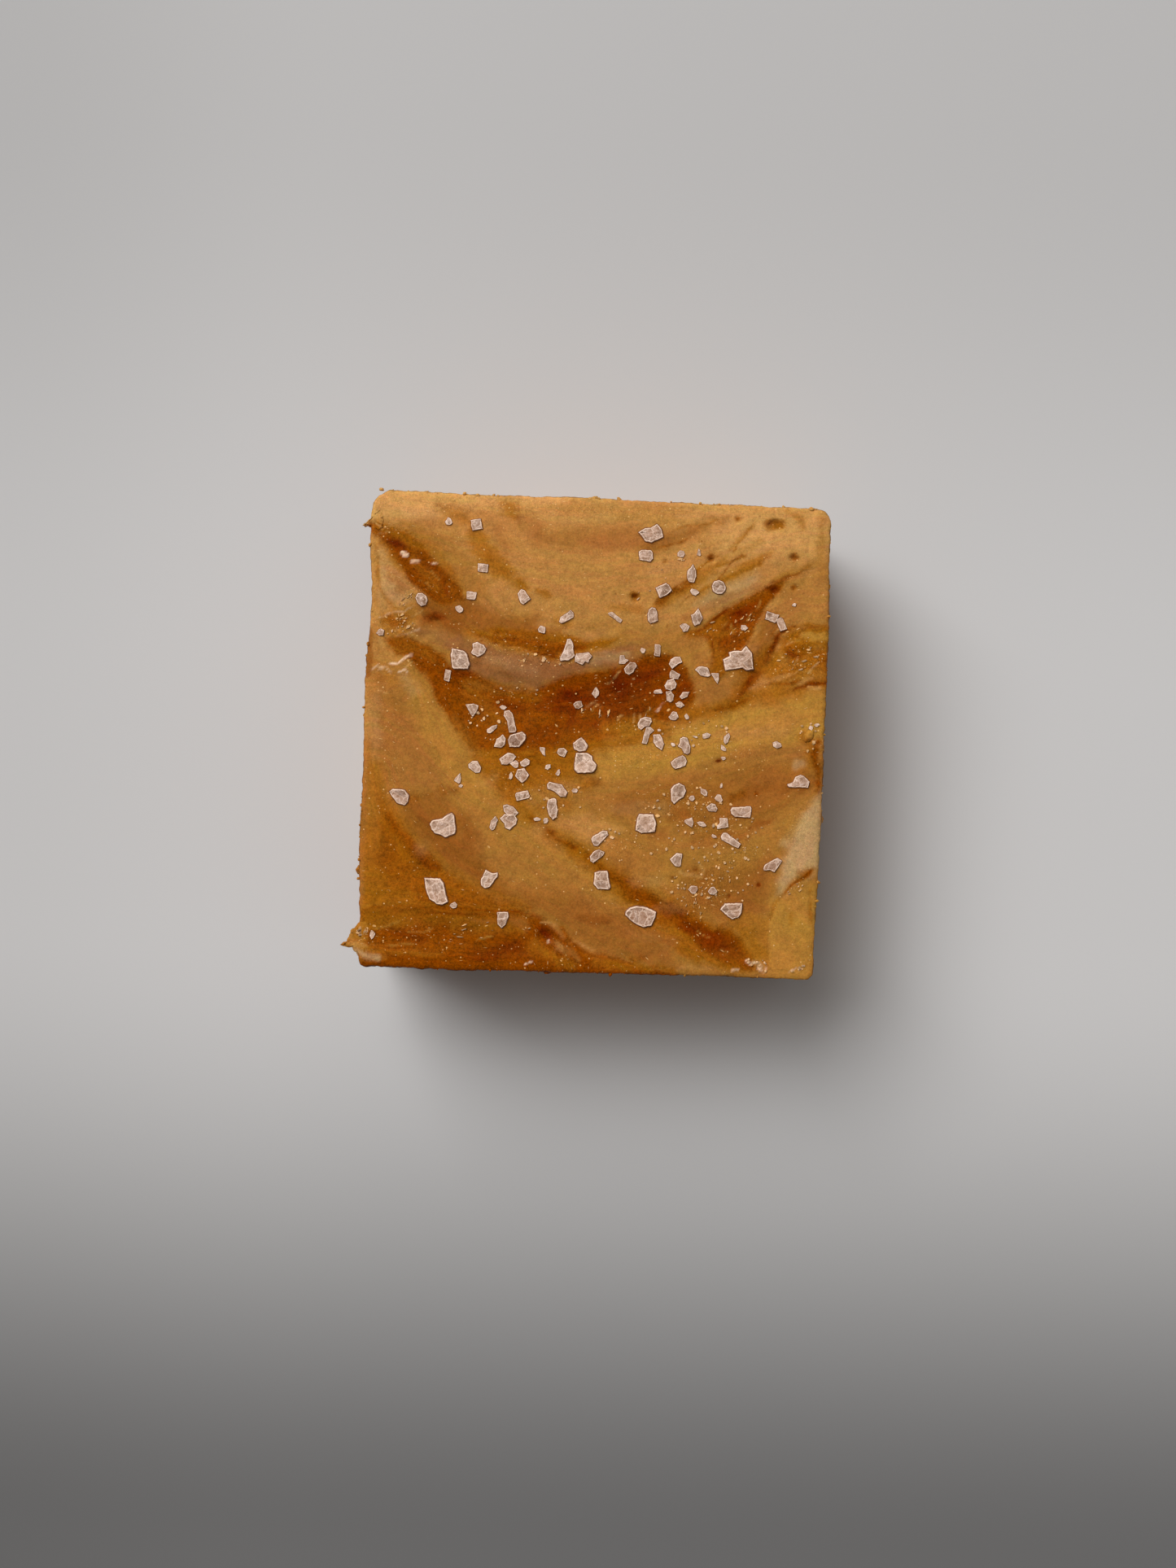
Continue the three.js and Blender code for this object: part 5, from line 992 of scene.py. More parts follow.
def bend(out, up):
    """Bends the square edge between two flat faces into a quarter circle."""
    reach = np.maximum(out, up)
    scale = reach / np.maximum(np.hypot(out, up), 1e-9)
    return out * scale, up * scale


def foot_share(z):
    """How much of the walls' shape shows at each height: less at the foot."""
    return FOOT_SHARE + (1 - FOOT_SHARE) * smooth(z / PLAIN_FOOT)


def round_off(points):
    """Rounds the upright corners and then the rim; returns each point's outward direction as well."""
    place = points[:, :2].copy()
    z = points[:, 2].copy()
    side = np.where(place < 0, -1.0, 1.0)
    gap = HALF - np.abs(place)
    inset = gap.min(axis=1)
    radius = corner_radius(place[:, 0], place[:, 1]) * foot_share(z)
    over = np.abs(place) - (HALF - radius[:, None])
    in_corner = (over > 0).all(axis=1)
    bent = np.column_stack(bend(over[:, 0], over[:, 1]))
    place[in_corner] = (side * (HALF - radius[:, None] + bent))[in_corner]
    outward = np.where(gap[:, :1] < gap[:, 1:], [[1.0, 0.0]], [[0.0, 1.0]]) * side
    lengths = np.maximum(np.linalg.norm(bent, axis=1, keepdims=True), 1e-9)
    outward[in_corner] = (side * bent / lengths)[in_corner]
    out = 1 - inset / RIM_RADIUS
    up = 1 - (HEIGHT - z) / RIM_RADIUS
    on_rim = (out > 0) & (up > 0)
    new_out, new_up = bend(out, up)
    place[on_rim] -= (outward * (RIM_RADIUS * (out - new_out))[:, None])[on_rim]
    z[on_rim] = (HEIGHT - RIM_RADIUS * (1 - new_up))[on_rim]
    return np.column_stack([place, z]), outward


def shape_faces(points):
    """Sets the cut faces where the knife left them, and gives the top its swells."""
    x, y, z = points.T
    side_x = np.where(x > 0, along(RIGHT_FACE, y), along(LEFT_FACE, y))
    side_y = np.where(y > 0, along(BACK_FACE, x), along(FRONT_FACE, x))
    belly = np.sin(np.pi * z / HEIGHT)
    sag_x = np.where(x > 0, SAG["right"], SAG["left"]) * belly
    sag_y = np.where(y > 0, SAG["back"], SAG["front"]) * belly
    near_x = foot_share(z) * (np.abs(x) / HALF[0]) ** 4
    near_y = foot_share(z) * (np.abs(y) / HALF[1]) ** 4
    shaped = points.copy()
    shaped[:, 0] += np.sign(x) * near_x * (side_x - HALF[0] + sag_x)
    shaped[:, 1] += np.sign(y) * near_y * (side_y - HALF[1] + sag_y)
    shaped[:, 2] += top_rise(x, y) * (z / HEIGHT) ** 3
    return shaped


def quads(outer, inner):
    """Faces that join one closed loop of points to the next, as rows of four."""
    return np.column_stack([outer, inner, np.roll(inner, -1), np.roll(outer, -1)])


def block_grid():
    """The plain block: a fine grid on top, rows of wall down from its rim, and rings across its base."""
    xs = np.linspace(-HALF[0], HALF[0], ACROSS + 1)
    ys = np.linspace(-HALF[1], HALF[1], ALONG + 1)
    grid_x, grid_y = np.meshgrid(xs, ys, indexing="ij")
    index = np.arange(grid_x.size).reshape(grid_x.shape)
    points = [np.column_stack([grid_x.ravel(), grid_y.ravel(), np.full(grid_x.size, HEIGHT)])]
    faces = [
        np.column_stack([
            index[:-1, :-1].ravel(), index[1:, :-1].ravel(), index[1:, 1:].ravel(), index[:-1, 1:].ravel(),
        ])
    ]
    loop = np.concatenate([index[:-1, 0], index[-1, :-1], index[:0:-1, -1], index[0, :0:-1]])
    rim = points[0][loop]
    rim_levels = HEIGHT - RIM_RADIUS * np.arange(1, RIM_ROWS + 1) / RIM_ROWS
    wall_levels = np.linspace(HEIGHT - RIM_RADIUS, 0, WALL_ROWS + 1)[1:]
    rings = [(1.0, level) for level in (*rim_levels, *wall_levels)]
    rings += [(1 - ring / BASE_RINGS, 0.0) for ring in range(1, BASE_RINGS)]
    count = grid_x.size
    for scale, level in rings:
        ring = rim * (scale, scale, 0) + (0, 0, level)
        points.append(ring)
        here = np.arange(count, count + len(ring))
        faces.append(quads(loop, here))
        loop = here
        count += len(ring)
    points.append(np.zeros((1, 3)))
    fan = np.column_stack([loop, np.full(len(loop), count), np.roll(loop, -1)])
    return np.vstack(points), np.vstack(faces), fan


def legs(line):
    """The segments of an open line, as pairs of end points."""
    rows = np.array(line, float)
    return zip(rows[:-1], rows[1:])


def segment_reach(points, start, end):
    """How far along a segment each point lies, from 0 to 1, and its distance from it."""
    run = end - start
    share = ((points - start) @ run) / max(float(run @ run), 1e-9)
    share = np.clip(share, 0, 1)
    return share, np.linalg.norm(points - start - share[:, None] * run, axis=1)


def streak_depth(points, line):
    """How deep inside a brush stroke each point lies; negative outside it."""
    rows = np.array(line, float)
    if len(rows) == 1:
        return rows[0, 2] - np.linalg.norm(points - rows[0, :2], axis=1)
    depth = np.full(len(points), -np.inf)
    for start, end in legs(line):
        share, distance = segment_reach(points, start[:2], end[:2])
        depth = np.maximum(depth, start[2] + share * (end[2] - start[2]) - distance)
    return depth


def patch_depth(points, outline):
    """How deep inside a filled outline each point lies; negative outside it."""
    corners = np.array(outline, float)
    nearest = np.full(len(points), np.inf)
    inside = np.zeros(len(points), bool)
    x, y = points.T
    for start, end in zip(corners, np.roll(corners, -1, axis=0)):
        nearest = np.minimum(nearest, segment_reach(points, start, end)[1])
        crosses = (start[1] > y) != (end[1] > y)
        if start[1] != end[1]:
            meets = start[0] + (y - start[1]) / (end[1] - start[1]) * (end[0] - start[0])
            inside ^= crosses & (x < meets)
    return np.where(inside, nearest, -nearest)


def flow_layer(points):
    """A number for each point that stays the same along the flow of the marbling."""
    total = np.zeros(len(points))
    weights = np.zeros(len(points))
    for number, line in FLOW:
        distance = np.full(len(points), np.inf)
        for start, end in legs(line):
            distance = np.minimum(distance, segment_reach(points, start, end)[1])
        weight = 1 / (distance + FLOW_BLUR) ** 2
        total += weight * number
        weights += weight
    return total / weights


# How far past its own width a stroke may colour: so many times its softness, and so many millimetres.
SOFT_REACH = 1.5
REACH = 0.6


def stroke_depth(stroke, points):
    """Which points a stroke may reach, and how deep inside it those lie."""
    line = "line" in stroke
    rows = np.array(stroke["line"] if line else stroke["outline"], float)
    margin = SOFT_REACH * stroke["softness"] + REACH + (rows[:, 2].max() if line else 0)
    low = rows[:, :2].min(axis=0) - margin
    high = rows[:, :2].max(axis=0) + margin
    near = ((points > low) & (points < high)).all(axis=1)
    return near, (streak_depth if line else patch_depth)(points[near], rows)


def paint(points, ragged, wall):
    """The share of each ink at each point, painted in order over plain tan; thin lines fade on the walls."""
    names = list(PALETTE)
    shares = np.zeros((len(points), len(names)))
    shares[:, names.index("tan")] = 1
    for stroke in MARBLING:
        near, depth = stroke_depth(stroke, points)
        softness = stroke["softness"]
        depth = depth + min(WANDER_LIMIT, WANDER * softness) * ragged[near]
        loss = THIN_LOSS if softness < THIN_LINE else 0.0
        strength = stroke["strength"] * (1 - loss * wall[near])
        covers = [(stroke["ink"], strength * smooth(0.5 + depth / softness))]
        halo = BLEED.get(stroke["ink"])
        if halo:
            spread = 1.5 * softness + min(STAIN_LIMIT, softness)
            covers.insert(0, (halo, STAIN * strength * smooth(0.6 + depth / spread)))
        for ink, cover in covers:
            shares[near] *= (1 - cover)[:, None]
            shares[near, names.index(ink)] += cover
    return dict(zip(names, shares.T))


def wetness(inks):
    """How much caramel there is at each point, from 0 to 1."""
    wet = inks["amber"] + inks["deep"] + inks["black"] + 0.5 * inks["gold"] + 0.2 * inks["ochre"]
    return np.clip(wet, 0, 1)


def sparkle(points, wet):
    """How thickly golden specks lie at each point, from 0 to 1."""
    # A few lie everywhere, and more on wet caramel.
    thick = 0.07 + 0.11 * wet
    for strength, softness, *line in SPARKLES:
        near, depth = stroke_depth(streak(None, strength, softness, *line), points)
        thick[near] += strength * smooth(0.5 + depth / softness)
    return np.clip(thick, 0, 1)


def pit_depth(place):
    """How deep the burst bubbles sink at each place."""
    depth = np.zeros(len(place))
    for x, y, length, width, sink in PITS:
        reach = np.hypot((place[:, 0] - x) / (length / 2), (place[:, 1] - y) / (width / 2))
        depth += sink * np.sqrt(np.clip(1 - reach**2, 0, 1)) * smooth((1.1 - reach) * 4)
    return depth


def mesh_object(name, points, faces, material, values=()):
    """A smooth mesh from points in millimetres, with its named values at each point."""
    mesh = bpy.data.meshes.new(name)
    mesh.from_pydata((points * MM).tolist(), [], faces)
    for key, numbers in dict(values).items():
        layer = mesh.attributes.new(key, "FLOAT", "POINT")
        layer.data.foreach_set("value", np.asarray(numbers, np.float32))
    mesh.shade_smooth()
    mesh.materials.append(material)
    mesh.update()
    thing = bpy.data.objects.new(name, mesh)
    bpy.context.scene.collection.objects.link(thing)
    return thing


# Where the wall begins below the top, and how far it takes to be wall alone.
WALL_START = 0.3
WALL_BLEND = 1.2
# The marbling inside: its lean inward for each millimetre down, and how far it wobbles and from what depth.
LEAN = 0.018
WOBBLE = 2.2
WOBBLE_DEPTH = 10
# Small waves in the marbling everywhere.
WARP = 0.14


def pair(noise_kind, points, seeds):
    """Two fields of noise side by side, to shift places across and along."""
    return np.column_stack([noise_kind(points, seed) for seed in seeds])


def fudge_block(material):
    """The marbled block, with the marbling carried from the top down through its walls, and its ray tree."""
    plain, top_faces, fan = block_grid()
    rounded, outward = round_off(plain)
    points = shape_faces(rounded)
    depth = HEIGHT - rounded[:, 2]
    wall = smooth((depth - WALL_START) / WALL_BLEND)
    sunk = smooth(depth / WOBBLE_DEPTH)[:, None]
    wobble = pair(noise, points / 6, (11, 12))
    place = points[:, :2] * (1 - LEAN * depth)[:, None] + WOBBLE * wobble * sunk
    place = place + WARP * pair(layered_noise, points / 1.6, (21, 24))
    layer = flow_layer(place)
    # The strokes' edges wander mostly along the flow.
    ragged = 0.7 * layered_noise(np.column_stack([place * 0.3, layer * 1.5]), 31, layers=4)
    ragged += 0.45 * layered_noise(points * 1.5, 35, layers=2)
    inks = paint(place, ragged, wall)
    wet = wetness(inks)
    # Low relief on the top: the painted highlights (glint) stand up a little, and wet caramel and pits lie
    # lower.
    relief = 0.05 * layered_noise(points / 2.2, 41) + 0.03 * ragged
    relief += 0.08 * inks["glint"] - 0.04 * inks["deep"] - 0.03 * wet + 0.015 * noise(points / 0.35, 45)
    relief -= pit_depth(points[:, :2])
    points[:, 2] += relief * (1 - wall) * (1 - smooth((depth - 0.1) / 1.0))
    # Crumbly walls that the knife has dragged downward, with a burr under the rim.
    drag = points * (0.9, 0.9, 0.12)
    crumbly = 0.07 * layered_noise(points / 1.1, 51) + 0.05 * layered_noise(drag * 1.8, 55)
    burr = 0.1 * noise(points * (0.8, 0.8, 0.4), 61)
    push = (crumbly - 0.03) * wall + burr * smooth(depth / 0.6) * (1 - smooth((depth - 1) / 2))
    push += 0.07 * layered_noise(points / 0.6, 63) * smooth(depth / 0.2) * (1 - smooth((depth - 0.6) / 0.8))
    free = smooth(rounded[:, 2] / PLAIN_FOOT)
    points[:, :2] += outward * (push * free * (rounded[:, 2] > 0))[:, None]
    # Painted shade: a thin dark line round the rim.
    rim_shade_and_highlight = smooth((depth - 0.12) / 0.1) * (1 - smooth((depth - 0.3) / 0.5))
    values = {
        **inks, "layer": layer, "wall": wall, "wet": wet, "sparkle": sparkle(place, wet), "rim_shade_and_highlight": rim_shade_and_highlight,
    }
    faces = top_faces.tolist() + fan.tolist()
    tree = BVHTree.FromPolygons(points.tolist(), faces[: ACROSS * ALONG])
    return mesh_object("fudge_block", points, faces, material, values), tree


def ground(tree, places):
    """The height of the finished top at each place."""
    hits = [tree.ray_cast((x, y, 2 * HEIGHT), (0, 0, -1))[0] for x, y in places]
    return np.array([hit.z if hit else HEIGHT for hit in hits])


def join(parts):
    """Several (points, faces, values) as one."""
    points = []
    faces = []
    values = {}
    count = 0
    for part_points, part_faces, part_values in parts:
        points.append(part_points)
        faces += [[corner + count for corner in face] for face in part_faces]
        for key, numbers in part_values.items():
            values.setdefault(key, []).append(numbers)
        count += len(part_points)
    return np.vstack(points), faces, {key: np.concatenate(numbers) for key, numbers in values.items()}


# The rings of a grain, foot first: (inset, lift off the ground, share of its height, painted rim highlight,
# dark seam of caramel and painted contact shade).
GRAIN_RINGS = [
    (0.05, -0.25, 0.0, 0.0, 1.0),
    (-0.1, -0.03, 0.0, 0.0, 1.0),
    (-0.06, 0.02, 0.0, 0.0, 1.0),
    (-0.01, 0.025, 0.0, 0.0, 1.0),
    (0.0, 0.03, 0.1, 0.6, 0.0),
    (0.02, 0.0, 0.7, 1.0, 0.0),
    (0.05, 0.0, 1.0, 1.0, 0.0),
    (0.09, 0.0, 1.0, 0.8, 0.0),
    (0.15, 0.0, 0.95, 0.0, 0.0),
]
# How the flat closes towards its middle, as shares of the last ring.
FLAT_RINGS = [0.8, 0.6, 0.4, 0.2]
# The longest step along an outline, and how far its edge wanders on a grain and on a flap.
GRAIN_STEP = 0.12
GRAIN_WANDER = 0.035
FLAP_WANDER = 0.07
# The outlines of small blocks and splinters, one long and one wide.
PLAIN_OUTLINES = {
    "block": [
        (-0.5, -0.42), (-0.4, -0.5), (0.42, -0.5), (0.5, -0.35), (0.5, 0.5), (-0.36, 0.5), (-0.5, 0.38),
    ],
    "shard": [(-0.5, -0.4), (-0.3, -0.5), (0.12, -0.28), (0.5, 0.0), (0.1, 0.3), (-0.35, 0.5)],
}
# Pebbles and crumbs have this many corners, drawn afresh for each.
PEBBLE_CORNERS = 6
# The share of gold in the sugar dust, from and to.
GOLDEN = (0.7, 1.0)
SALT_SEED = 2026

# A rim crumb's corners round and rings up, and how lumpy it is.
CRUMB_SIDES = 12
CRUMB_RINGS = 7
CRUMB_LUMPS = 0.35
CRUMB_SEED = 71
# How many specks lie along each rim, and how far towards its ends.
RIM_SPECKS = 30
SPECK_REACH = 18.6
# A torn flap lies this far below the block's height, and past this line it sags by a share of its overhang.
FLAP_DROP = 0.08
FLAP_LINE = -18.5
FLAP_SAG = 0.3
FLAP_THICKNESS = 0.4
# The rings of a flap, foot first: (inset, level).
FLAP_RINGS = [
    (0.25, -FLAP_THICKNESS), (0.08, -0.7 * FLAP_THICKNESS), (0.0, -0.15), (0.05, -0.03), (0.15, 0.0),
]
FLAPS = [
    [
        (-18.3, -16.2), (-18.95, -16.3), (-19.3, -16.7), (-19.65, -17.05), (-19.8, -17.55), (-20.0, -17.95),
        (-20.55, -18.3), (-20.1, -18.45), (-19.5, -18.5), (-19.2, -18.8), (-19.0, -19.1), (-18.75, -19.45),
        (-18.2, -19.6), (-17.9, -18.5), (-17.9, -17.0),
    ],
    [
        (-18.5, 18.3), (-18.95, 18.0), (-19.2, 17.6), (-19.5, 17.25), (-19.95, 16.9), (-19.5, 16.85),
        (-19.05, 16.7), (-18.6, 16.4), (-18.1, 16.8), (-18.1, 17.8),
    ],
]


def grain_corners(kind, row, draw):
    """The outline of a small grain where it lies on the top."""
    x, y, length, width, turn = row
    if kind in PLAIN_OUTLINES:
        base = np.array(PLAIN_OUTLINES[kind])
    else:
        steps = np.arange(PEBBLE_CORNERS) + draw.uniform(-0.3, 0.3, PEBBLE_CORNERS)
        angles = steps * 2 * np.pi / PEBBLE_CORNERS
        radius = draw.uniform(0.44, 0.56, PEBBLE_CORNERS)
        base = np.column_stack([radius * np.cos(angles), radius * np.sin(angles)])
    base = (base + 0.03 * draw.normal(size=base.shape)) * (length, width)
    return np.column_stack(turned(x, y, base[:, 0], base[:, 1], turn))


def wound(corners):
    """The corners in anticlockwise order."""
    x, y = corners.T
    area = (x * np.roll(y, -1) - y * np.roll(x, -1)).sum()
    return corners if area > 0 else corners[::-1]


def fine_outline(corners):
    """An outline with points close together along each edge."""
    loop = []
    for start, end in zip(corners, np.roll(corners, -1, axis=0)):
        count = max(1, round(float(np.linalg.norm(end - start)) / GRAIN_STEP))
        for step in range(count):
            loop.append(start + (end - start) * step / count)
    return np.array(loop)


def loft(rings, foot, tip):
    """A closed form through rings of points, lowest first, with the points that close its two ends."""
    count = len(rings[0])
    first = np.arange(count)
    end = len(rings) * count
    faces = []
    for level in range(len(rings) - 1):
        faces += quads(first + (level + 1) * count, first + level * count).tolist()
    last = first + end - count
    faces += np.column_stack([np.full(count, end), np.roll(first, -1), first]).tolist()
    faces += np.column_stack([np.full(count, end + 1), last, np.roll(last, -1)]).tolist()
    return np.vstack([*rings, [foot], [tip]]), faces


def inward(loop):
    """The direction into an anticlockwise outline at each of its points."""
    run = np.roll(loop, -1, axis=0) - np.roll(loop, 1, axis=0)
    return np.column_stack([-run[:, 1], run[:, 0]]) / np.linalg.norm(run, axis=1, keepdims=True)


def grain(clear, corners, tree, draw, golden=0.0):
    """One crystal: a flat ragged plate with a painted highlight on its bevelled rim, and a dark seam at its
    foot where it isn't golden, partly wet caramel and partly painted contact shade.
    """
    loop = fine_outline(wound(np.array(corners, float)))
    centre = loop.mean(axis=0)
    reach = np.linalg.norm(loop - centre, axis=1)
    broad = 2 * math.sqrt(reach.min() * reach.mean())
    # A broader grain is taller, with a wider bevel and a duller flat, which takes less of the painted rim
    # highlight.
    tall = 0.03 + 0.17 * broad**0.6
    bevel = min(1.0, 0.7 * broad)
    flat_rim_highlight = 0.75 * max(0.0, 1 - broad)
    shift = draw.uniform(0, 50, 3)
    ragged = layered_noise(np.column_stack([loop / 0.25, np.zeros(len(loop))]) + shift, 75, layers=2)
    loop = loop - inward(loop) * GRAIN_WANDER * ragged[:, None]
    # The flat lies along the slope of the ground, with a slight tilt of its own.
    heights = ground(tree, loop)
    slope = np.linalg.lstsq(np.column_stack([loop - centre, np.ones(len(loop))]), heights, rcond=None)[0]
    tilt = draw.normal(size=2) * 0.04
    flat_z = slope[2] + 0.3 * (heights.max() - slope[2])
    rings = []
    rim = []
    seam_and_shade = []
    for inset, lift, share, bright, is_seam_and_shade in GRAIN_RINGS:
        ring = loop + inward(loop) * inset * bevel
        plane = flat_z + (ring - centre) @ (slope[:2] + tilt) + tall
        low = ground(tree, ring) + lift
        rings.append(np.column_stack([ring, low + share * (plane - low)]))
        rim += [max(bright, flat_rim_highlight * (1 - is_seam_and_shade))] * len(ring)
        seam_and_shade += [is_seam_and_shade] * len(ring)
    for share in FLAT_RINGS:
        flat = (ring - centre) * share
        rings.append(np.column_stack([centre + flat, flat_z + flat @ (slope[:2] + tilt) + tall]))
        rim += [flat_rim_highlight] * len(flat)
        seam_and_shade += [0.0] * len(flat)
    points, faces = loft(rings, (*centre, flat_z - 0.3), (*centre, flat_z + tall))
    rim = np.array([*rim, 0.0, flat_rim_highlight])
    rough = layered_noise(points / 0.45 + shift, 71)
    points[:, 2] += 0.05 * min(1.0, broad) * rough * (rim < 0.95) * (points[:, 2] > flat_z + 0.8 * tall)
    spread = points[:, :2] - centre
    axis = np.linalg.eigh(np.cov(spread.T))[1][:, 1]
    count = len(points)
    values = {
        "rim": rim, "seam_and_shade": (1 - golden) * np.array([*seam_and_shade, 1.0, 0.0]), "tint": np.full(count, draw.random()),
        "clear": np.full(count, clear), "golden": np.full(count, golden),
        "lengthways": spread @ axis, "sideways": spread @ (-axis[1], axis[0]),
    }
    return points, faces, values


def dust(draw):
    """Rows for the sugar dust, scattered by seeded draws where it lies."""
    rows = []
    for x, y, half_length, half_width, turn, count, stretch in DUST:
        for _ in range(count):
            reach = math.sqrt(draw.random())
            angle = draw.uniform(0, 2 * math.pi)
            u = half_length * reach * math.cos(angle)
            v = half_width * reach * math.sin(angle)
            width = (0.1 + 0.17 * draw.random() ** 2) / stretch**0.6
            length = stretch * width * draw.uniform(1, 1.4)
            aim = turn + draw.uniform(-90, 90) / stretch
            rows.append((*turned(x, y, u, v, turn), length, width, aim))
    return rows


def salt(material, tree):
    """Every grain of salt and sugar on the top, as one mesh."""
    draw = np.random.default_rng(SALT_SEED)
    parts = [grain(clear, corners, tree, draw) for clear, corners in CRYSTALS]
    kinds = [
        ("block", 0.15, SALT_BLOCKS), ("pebble", 0.15, SALT_PEBBLES), ("shard", 0.2, SALT_SHARDS),
        ("crumb", 0.15, SALT_CRUMBS), ("crumb", 0.8, CLEAR_CRUMBS),
    ]
    for kind, clear, rows in kinds:
        parts += [grain(clear, grain_corners(kind, row, draw), tree, draw) for row in rows]
    for row in dust(draw):
        corners = grain_corners("crumb", row, draw)
        parts.append(grain(0.0, corners, tree, draw, golden=draw.uniform(*GOLDEN)))
    points, faces, values = join(parts)
    return mesh_object("salt", points, faces, material, values)


def crumb(row, draw):
    """A ragged lump of fudge that the knife left on the rim."""
    x, y, length, width, turn, drop = row
    angles = np.linspace(0, 2 * np.pi, CRUMB_SIDES, endpoint=False)
    circle = np.column_stack([np.cos(angles), np.sin(angles), np.zeros(CRUMB_SIDES)])
    tilts = np.linspace(0, np.pi, CRUMB_RINGS + 2)[1:-1]
    rings = [0.5 * math.sin(tilt) * circle - (0, 0, 0.5 * math.cos(tilt)) for tilt in tilts]
    points, faces = loft(rings, (0, 0, -0.5), (0, 0, 0.5))
    bumps = layered_noise(points * 3 + draw.uniform(0, 50, 3), 81)
    u, v, up = (points * (1 + CRUMB_LUMPS * bumps)[:, None] * (length, width, width)).T
    return np.column_stack([*turned(x, y, u, v, turn), HEIGHT - drop + up]), faces, {}


def rim_specks(draw):
    """Rows for many tiny crumbs along the four rims."""
    faces = [(0, LEFT_FACE, -1), (0, RIGHT_FACE, 1), (1, FRONT_FACE, -1), (1, BACK_FACE, 1)]
    rows = []
    for across, face, sign in faces:
        for place in draw.uniform(-SPECK_REACH, SPECK_REACH, RIM_SPECKS):
            out = sign * (float(along(face, np.array([place]))[0]) - draw.uniform(-0.02, 0.14))
            spot = (place, out) if across else (out, place)
            size = 0.12 + 0.35 * draw.random() ** 3
            rows.append((*spot, size, size * 0.7, draw.uniform(0, 180), draw.uniform(0.1, 0.5)))
    return rows


def flap(outline, draw):
    """A thin torn flap of fudge that overhangs the rim."""
    loop = fine_outline(wound(np.array(outline, float)))
    ragged = layered_noise(np.column_stack([loop / 0.3, np.zeros(len(loop))]), 85)
    loop = loop - inward(loop) * FLAP_WANDER * ragged[:, None]
    centre = loop.mean(axis=0)
    rings = []
    for inset, level in FLAP_RINGS:
        ring = loop + inward(loop) * inset
        rings.append(np.column_stack([ring, flap_level(ring) + level]))
    for share in FLAT_RINGS:
        ring = centre + (loop - centre) * share
        rings.append(np.column_stack([ring, flap_level(ring)]))
    ends = flap_level(np.array([centre, centre]))
    points, faces = loft(rings, (*centre, ends[0] - FLAP_THICKNESS), (*centre, ends[1]))
    points[:, 2] += 0.05 * layered_noise(points / 0.5 + draw.uniform(0, 50, 3), 87)
    return points, faces, {}


def flap_level(places):
    """The height of a flap's top, just below the block's and sagging beyond its left face."""
    return HEIGHT - FLAP_DROP - FLAP_SAG * np.clip(FLAP_LINE - places[:, 0], 0, None)


def crumbs(material):
    """The torn flaps and knife crumbs along the rim, as one mesh in the colours of the rim."""
    draw = np.random.default_rng(CRUMB_SEED)
    parts = [crumb(row, draw) for row in RIM_CRUMBS + rim_specks(draw)]
    parts += [flap(outline, draw) for outline in FLAPS]
    points, faces, _ = join(parts)
    place = points[:, :2]
    layer = flow_layer(place)
    zero = np.zeros(len(points))
    inks = paint(place, layered_noise(np.column_stack([place, layer]), 95), zero)
    wet = wetness(inks)
    values = {
        **inks, "layer": layer, "wall": zero, "wet": 0.4 * wet, "sparkle": sparkle(place, wet), "rim_shade_and_highlight": zero,
    }
    return mesh_object("crumbs", points, faces, material, values)


# How deep the fine bumps of the materials are.
BUMP_DEPTH = 0.12


class Nodes:
    """Short calls that build one material's nodes."""

    def __init__(self, name):
        self.material = bpy.data.materials.new(name)
        self.material.use_nodes = True
        self.tree = self.material.node_tree
        self.shader = self.tree.nodes["Principled BSDF"]

    def add(self, kind, **settings):
        node = self.tree.nodes.new(kind)
        for key, value in settings.items():
            setattr(node, key, value)
        return node

    def put(self, socket, value):
        """Links a socket to another's output, or sets its value."""
        if isinstance(value, bpy.types.NodeSocket):
            self.tree.links.new(value, socket)
        else:
            socket.default_value = value

    def value(self, name):
        """One of the mesh's own values."""
        return self.add("ShaderNodeAttribute", attribute_name=name).outputs["Fac"]

    def math(self, operation, first, second=0.0, third=0.0):
        node = self.add("ShaderNodeMath", operation=operation)
        for socket, value in zip(node.inputs, (first, second, third)):
            self.put(socket, value)
        return node.outputs[0]

    def vector(self, operation, first, second=(0, 0, 0), third=(0, 0, 0)):
        node = self.add("ShaderNodeVectorMath", operation=operation)
        for socket, value in zip(node.inputs, (first, second, third)):
            self.put(socket, value)
        return node.outputs[0]

    def scaled(self, vector, factor):
        node = self.add("ShaderNodeVectorMath", operation="SCALE")
        self.put(node.inputs[0], vector)
        self.put(node.inputs["Scale"], factor)
        return node.outputs[0]

    def span(self, value, low, high, new_low=0.0, new_high=1.0):
        """Passes softly from one number to another as the value goes from low to high."""
        node = self.add("ShaderNodeMapRange", interpolation_type="SMOOTHSTEP")
        for socket, number in zip(node.inputs, (value, low, high, new_low, new_high)):
            self.put(socket, number)
        return node.outputs[0]

    def noise(self, vector, scale, detail=2.0, roughness=0.5):
        node = self.add("ShaderNodeTexNoise")
        settings = {"Vector": vector, "Scale": scale, "Detail": detail, "Roughness": roughness}
        for name, value in settings.items():
            self.put(node.inputs[name], value)
        return node.outputs[0]

    def blend(self, factor, first, second):
        node = self.add("ShaderNodeMix", data_type="RGBA")
        for socket, value in {0: factor, 6: first, 7: second}.items():
            self.put(node.inputs[socket], value)
        return node.outputs[2]

    def finish(self, **settings):
        """Sets the shader's sockets, named with _ for each space, and returns the material."""
        for name, value in settings.items():
            self.put(self.shader.inputs[name.replace("_", " ")], value)
        return self.material

    def bump(self, height, strength):
        node = self.add("ShaderNodeBump")
        for name, value in {"Height": height, "Strength": strength, "Distance": BUMP_DEPTH * MM}.items():
            self.put(node.inputs[name], value)
        return node.outputs[0]


def millimetres(nodes):
    """Places on the object in millimetres."""
    spot = nodes.add("ShaderNodeTexCoord").outputs["Object"]
    return nodes.scaled(spot, 1 / MM)


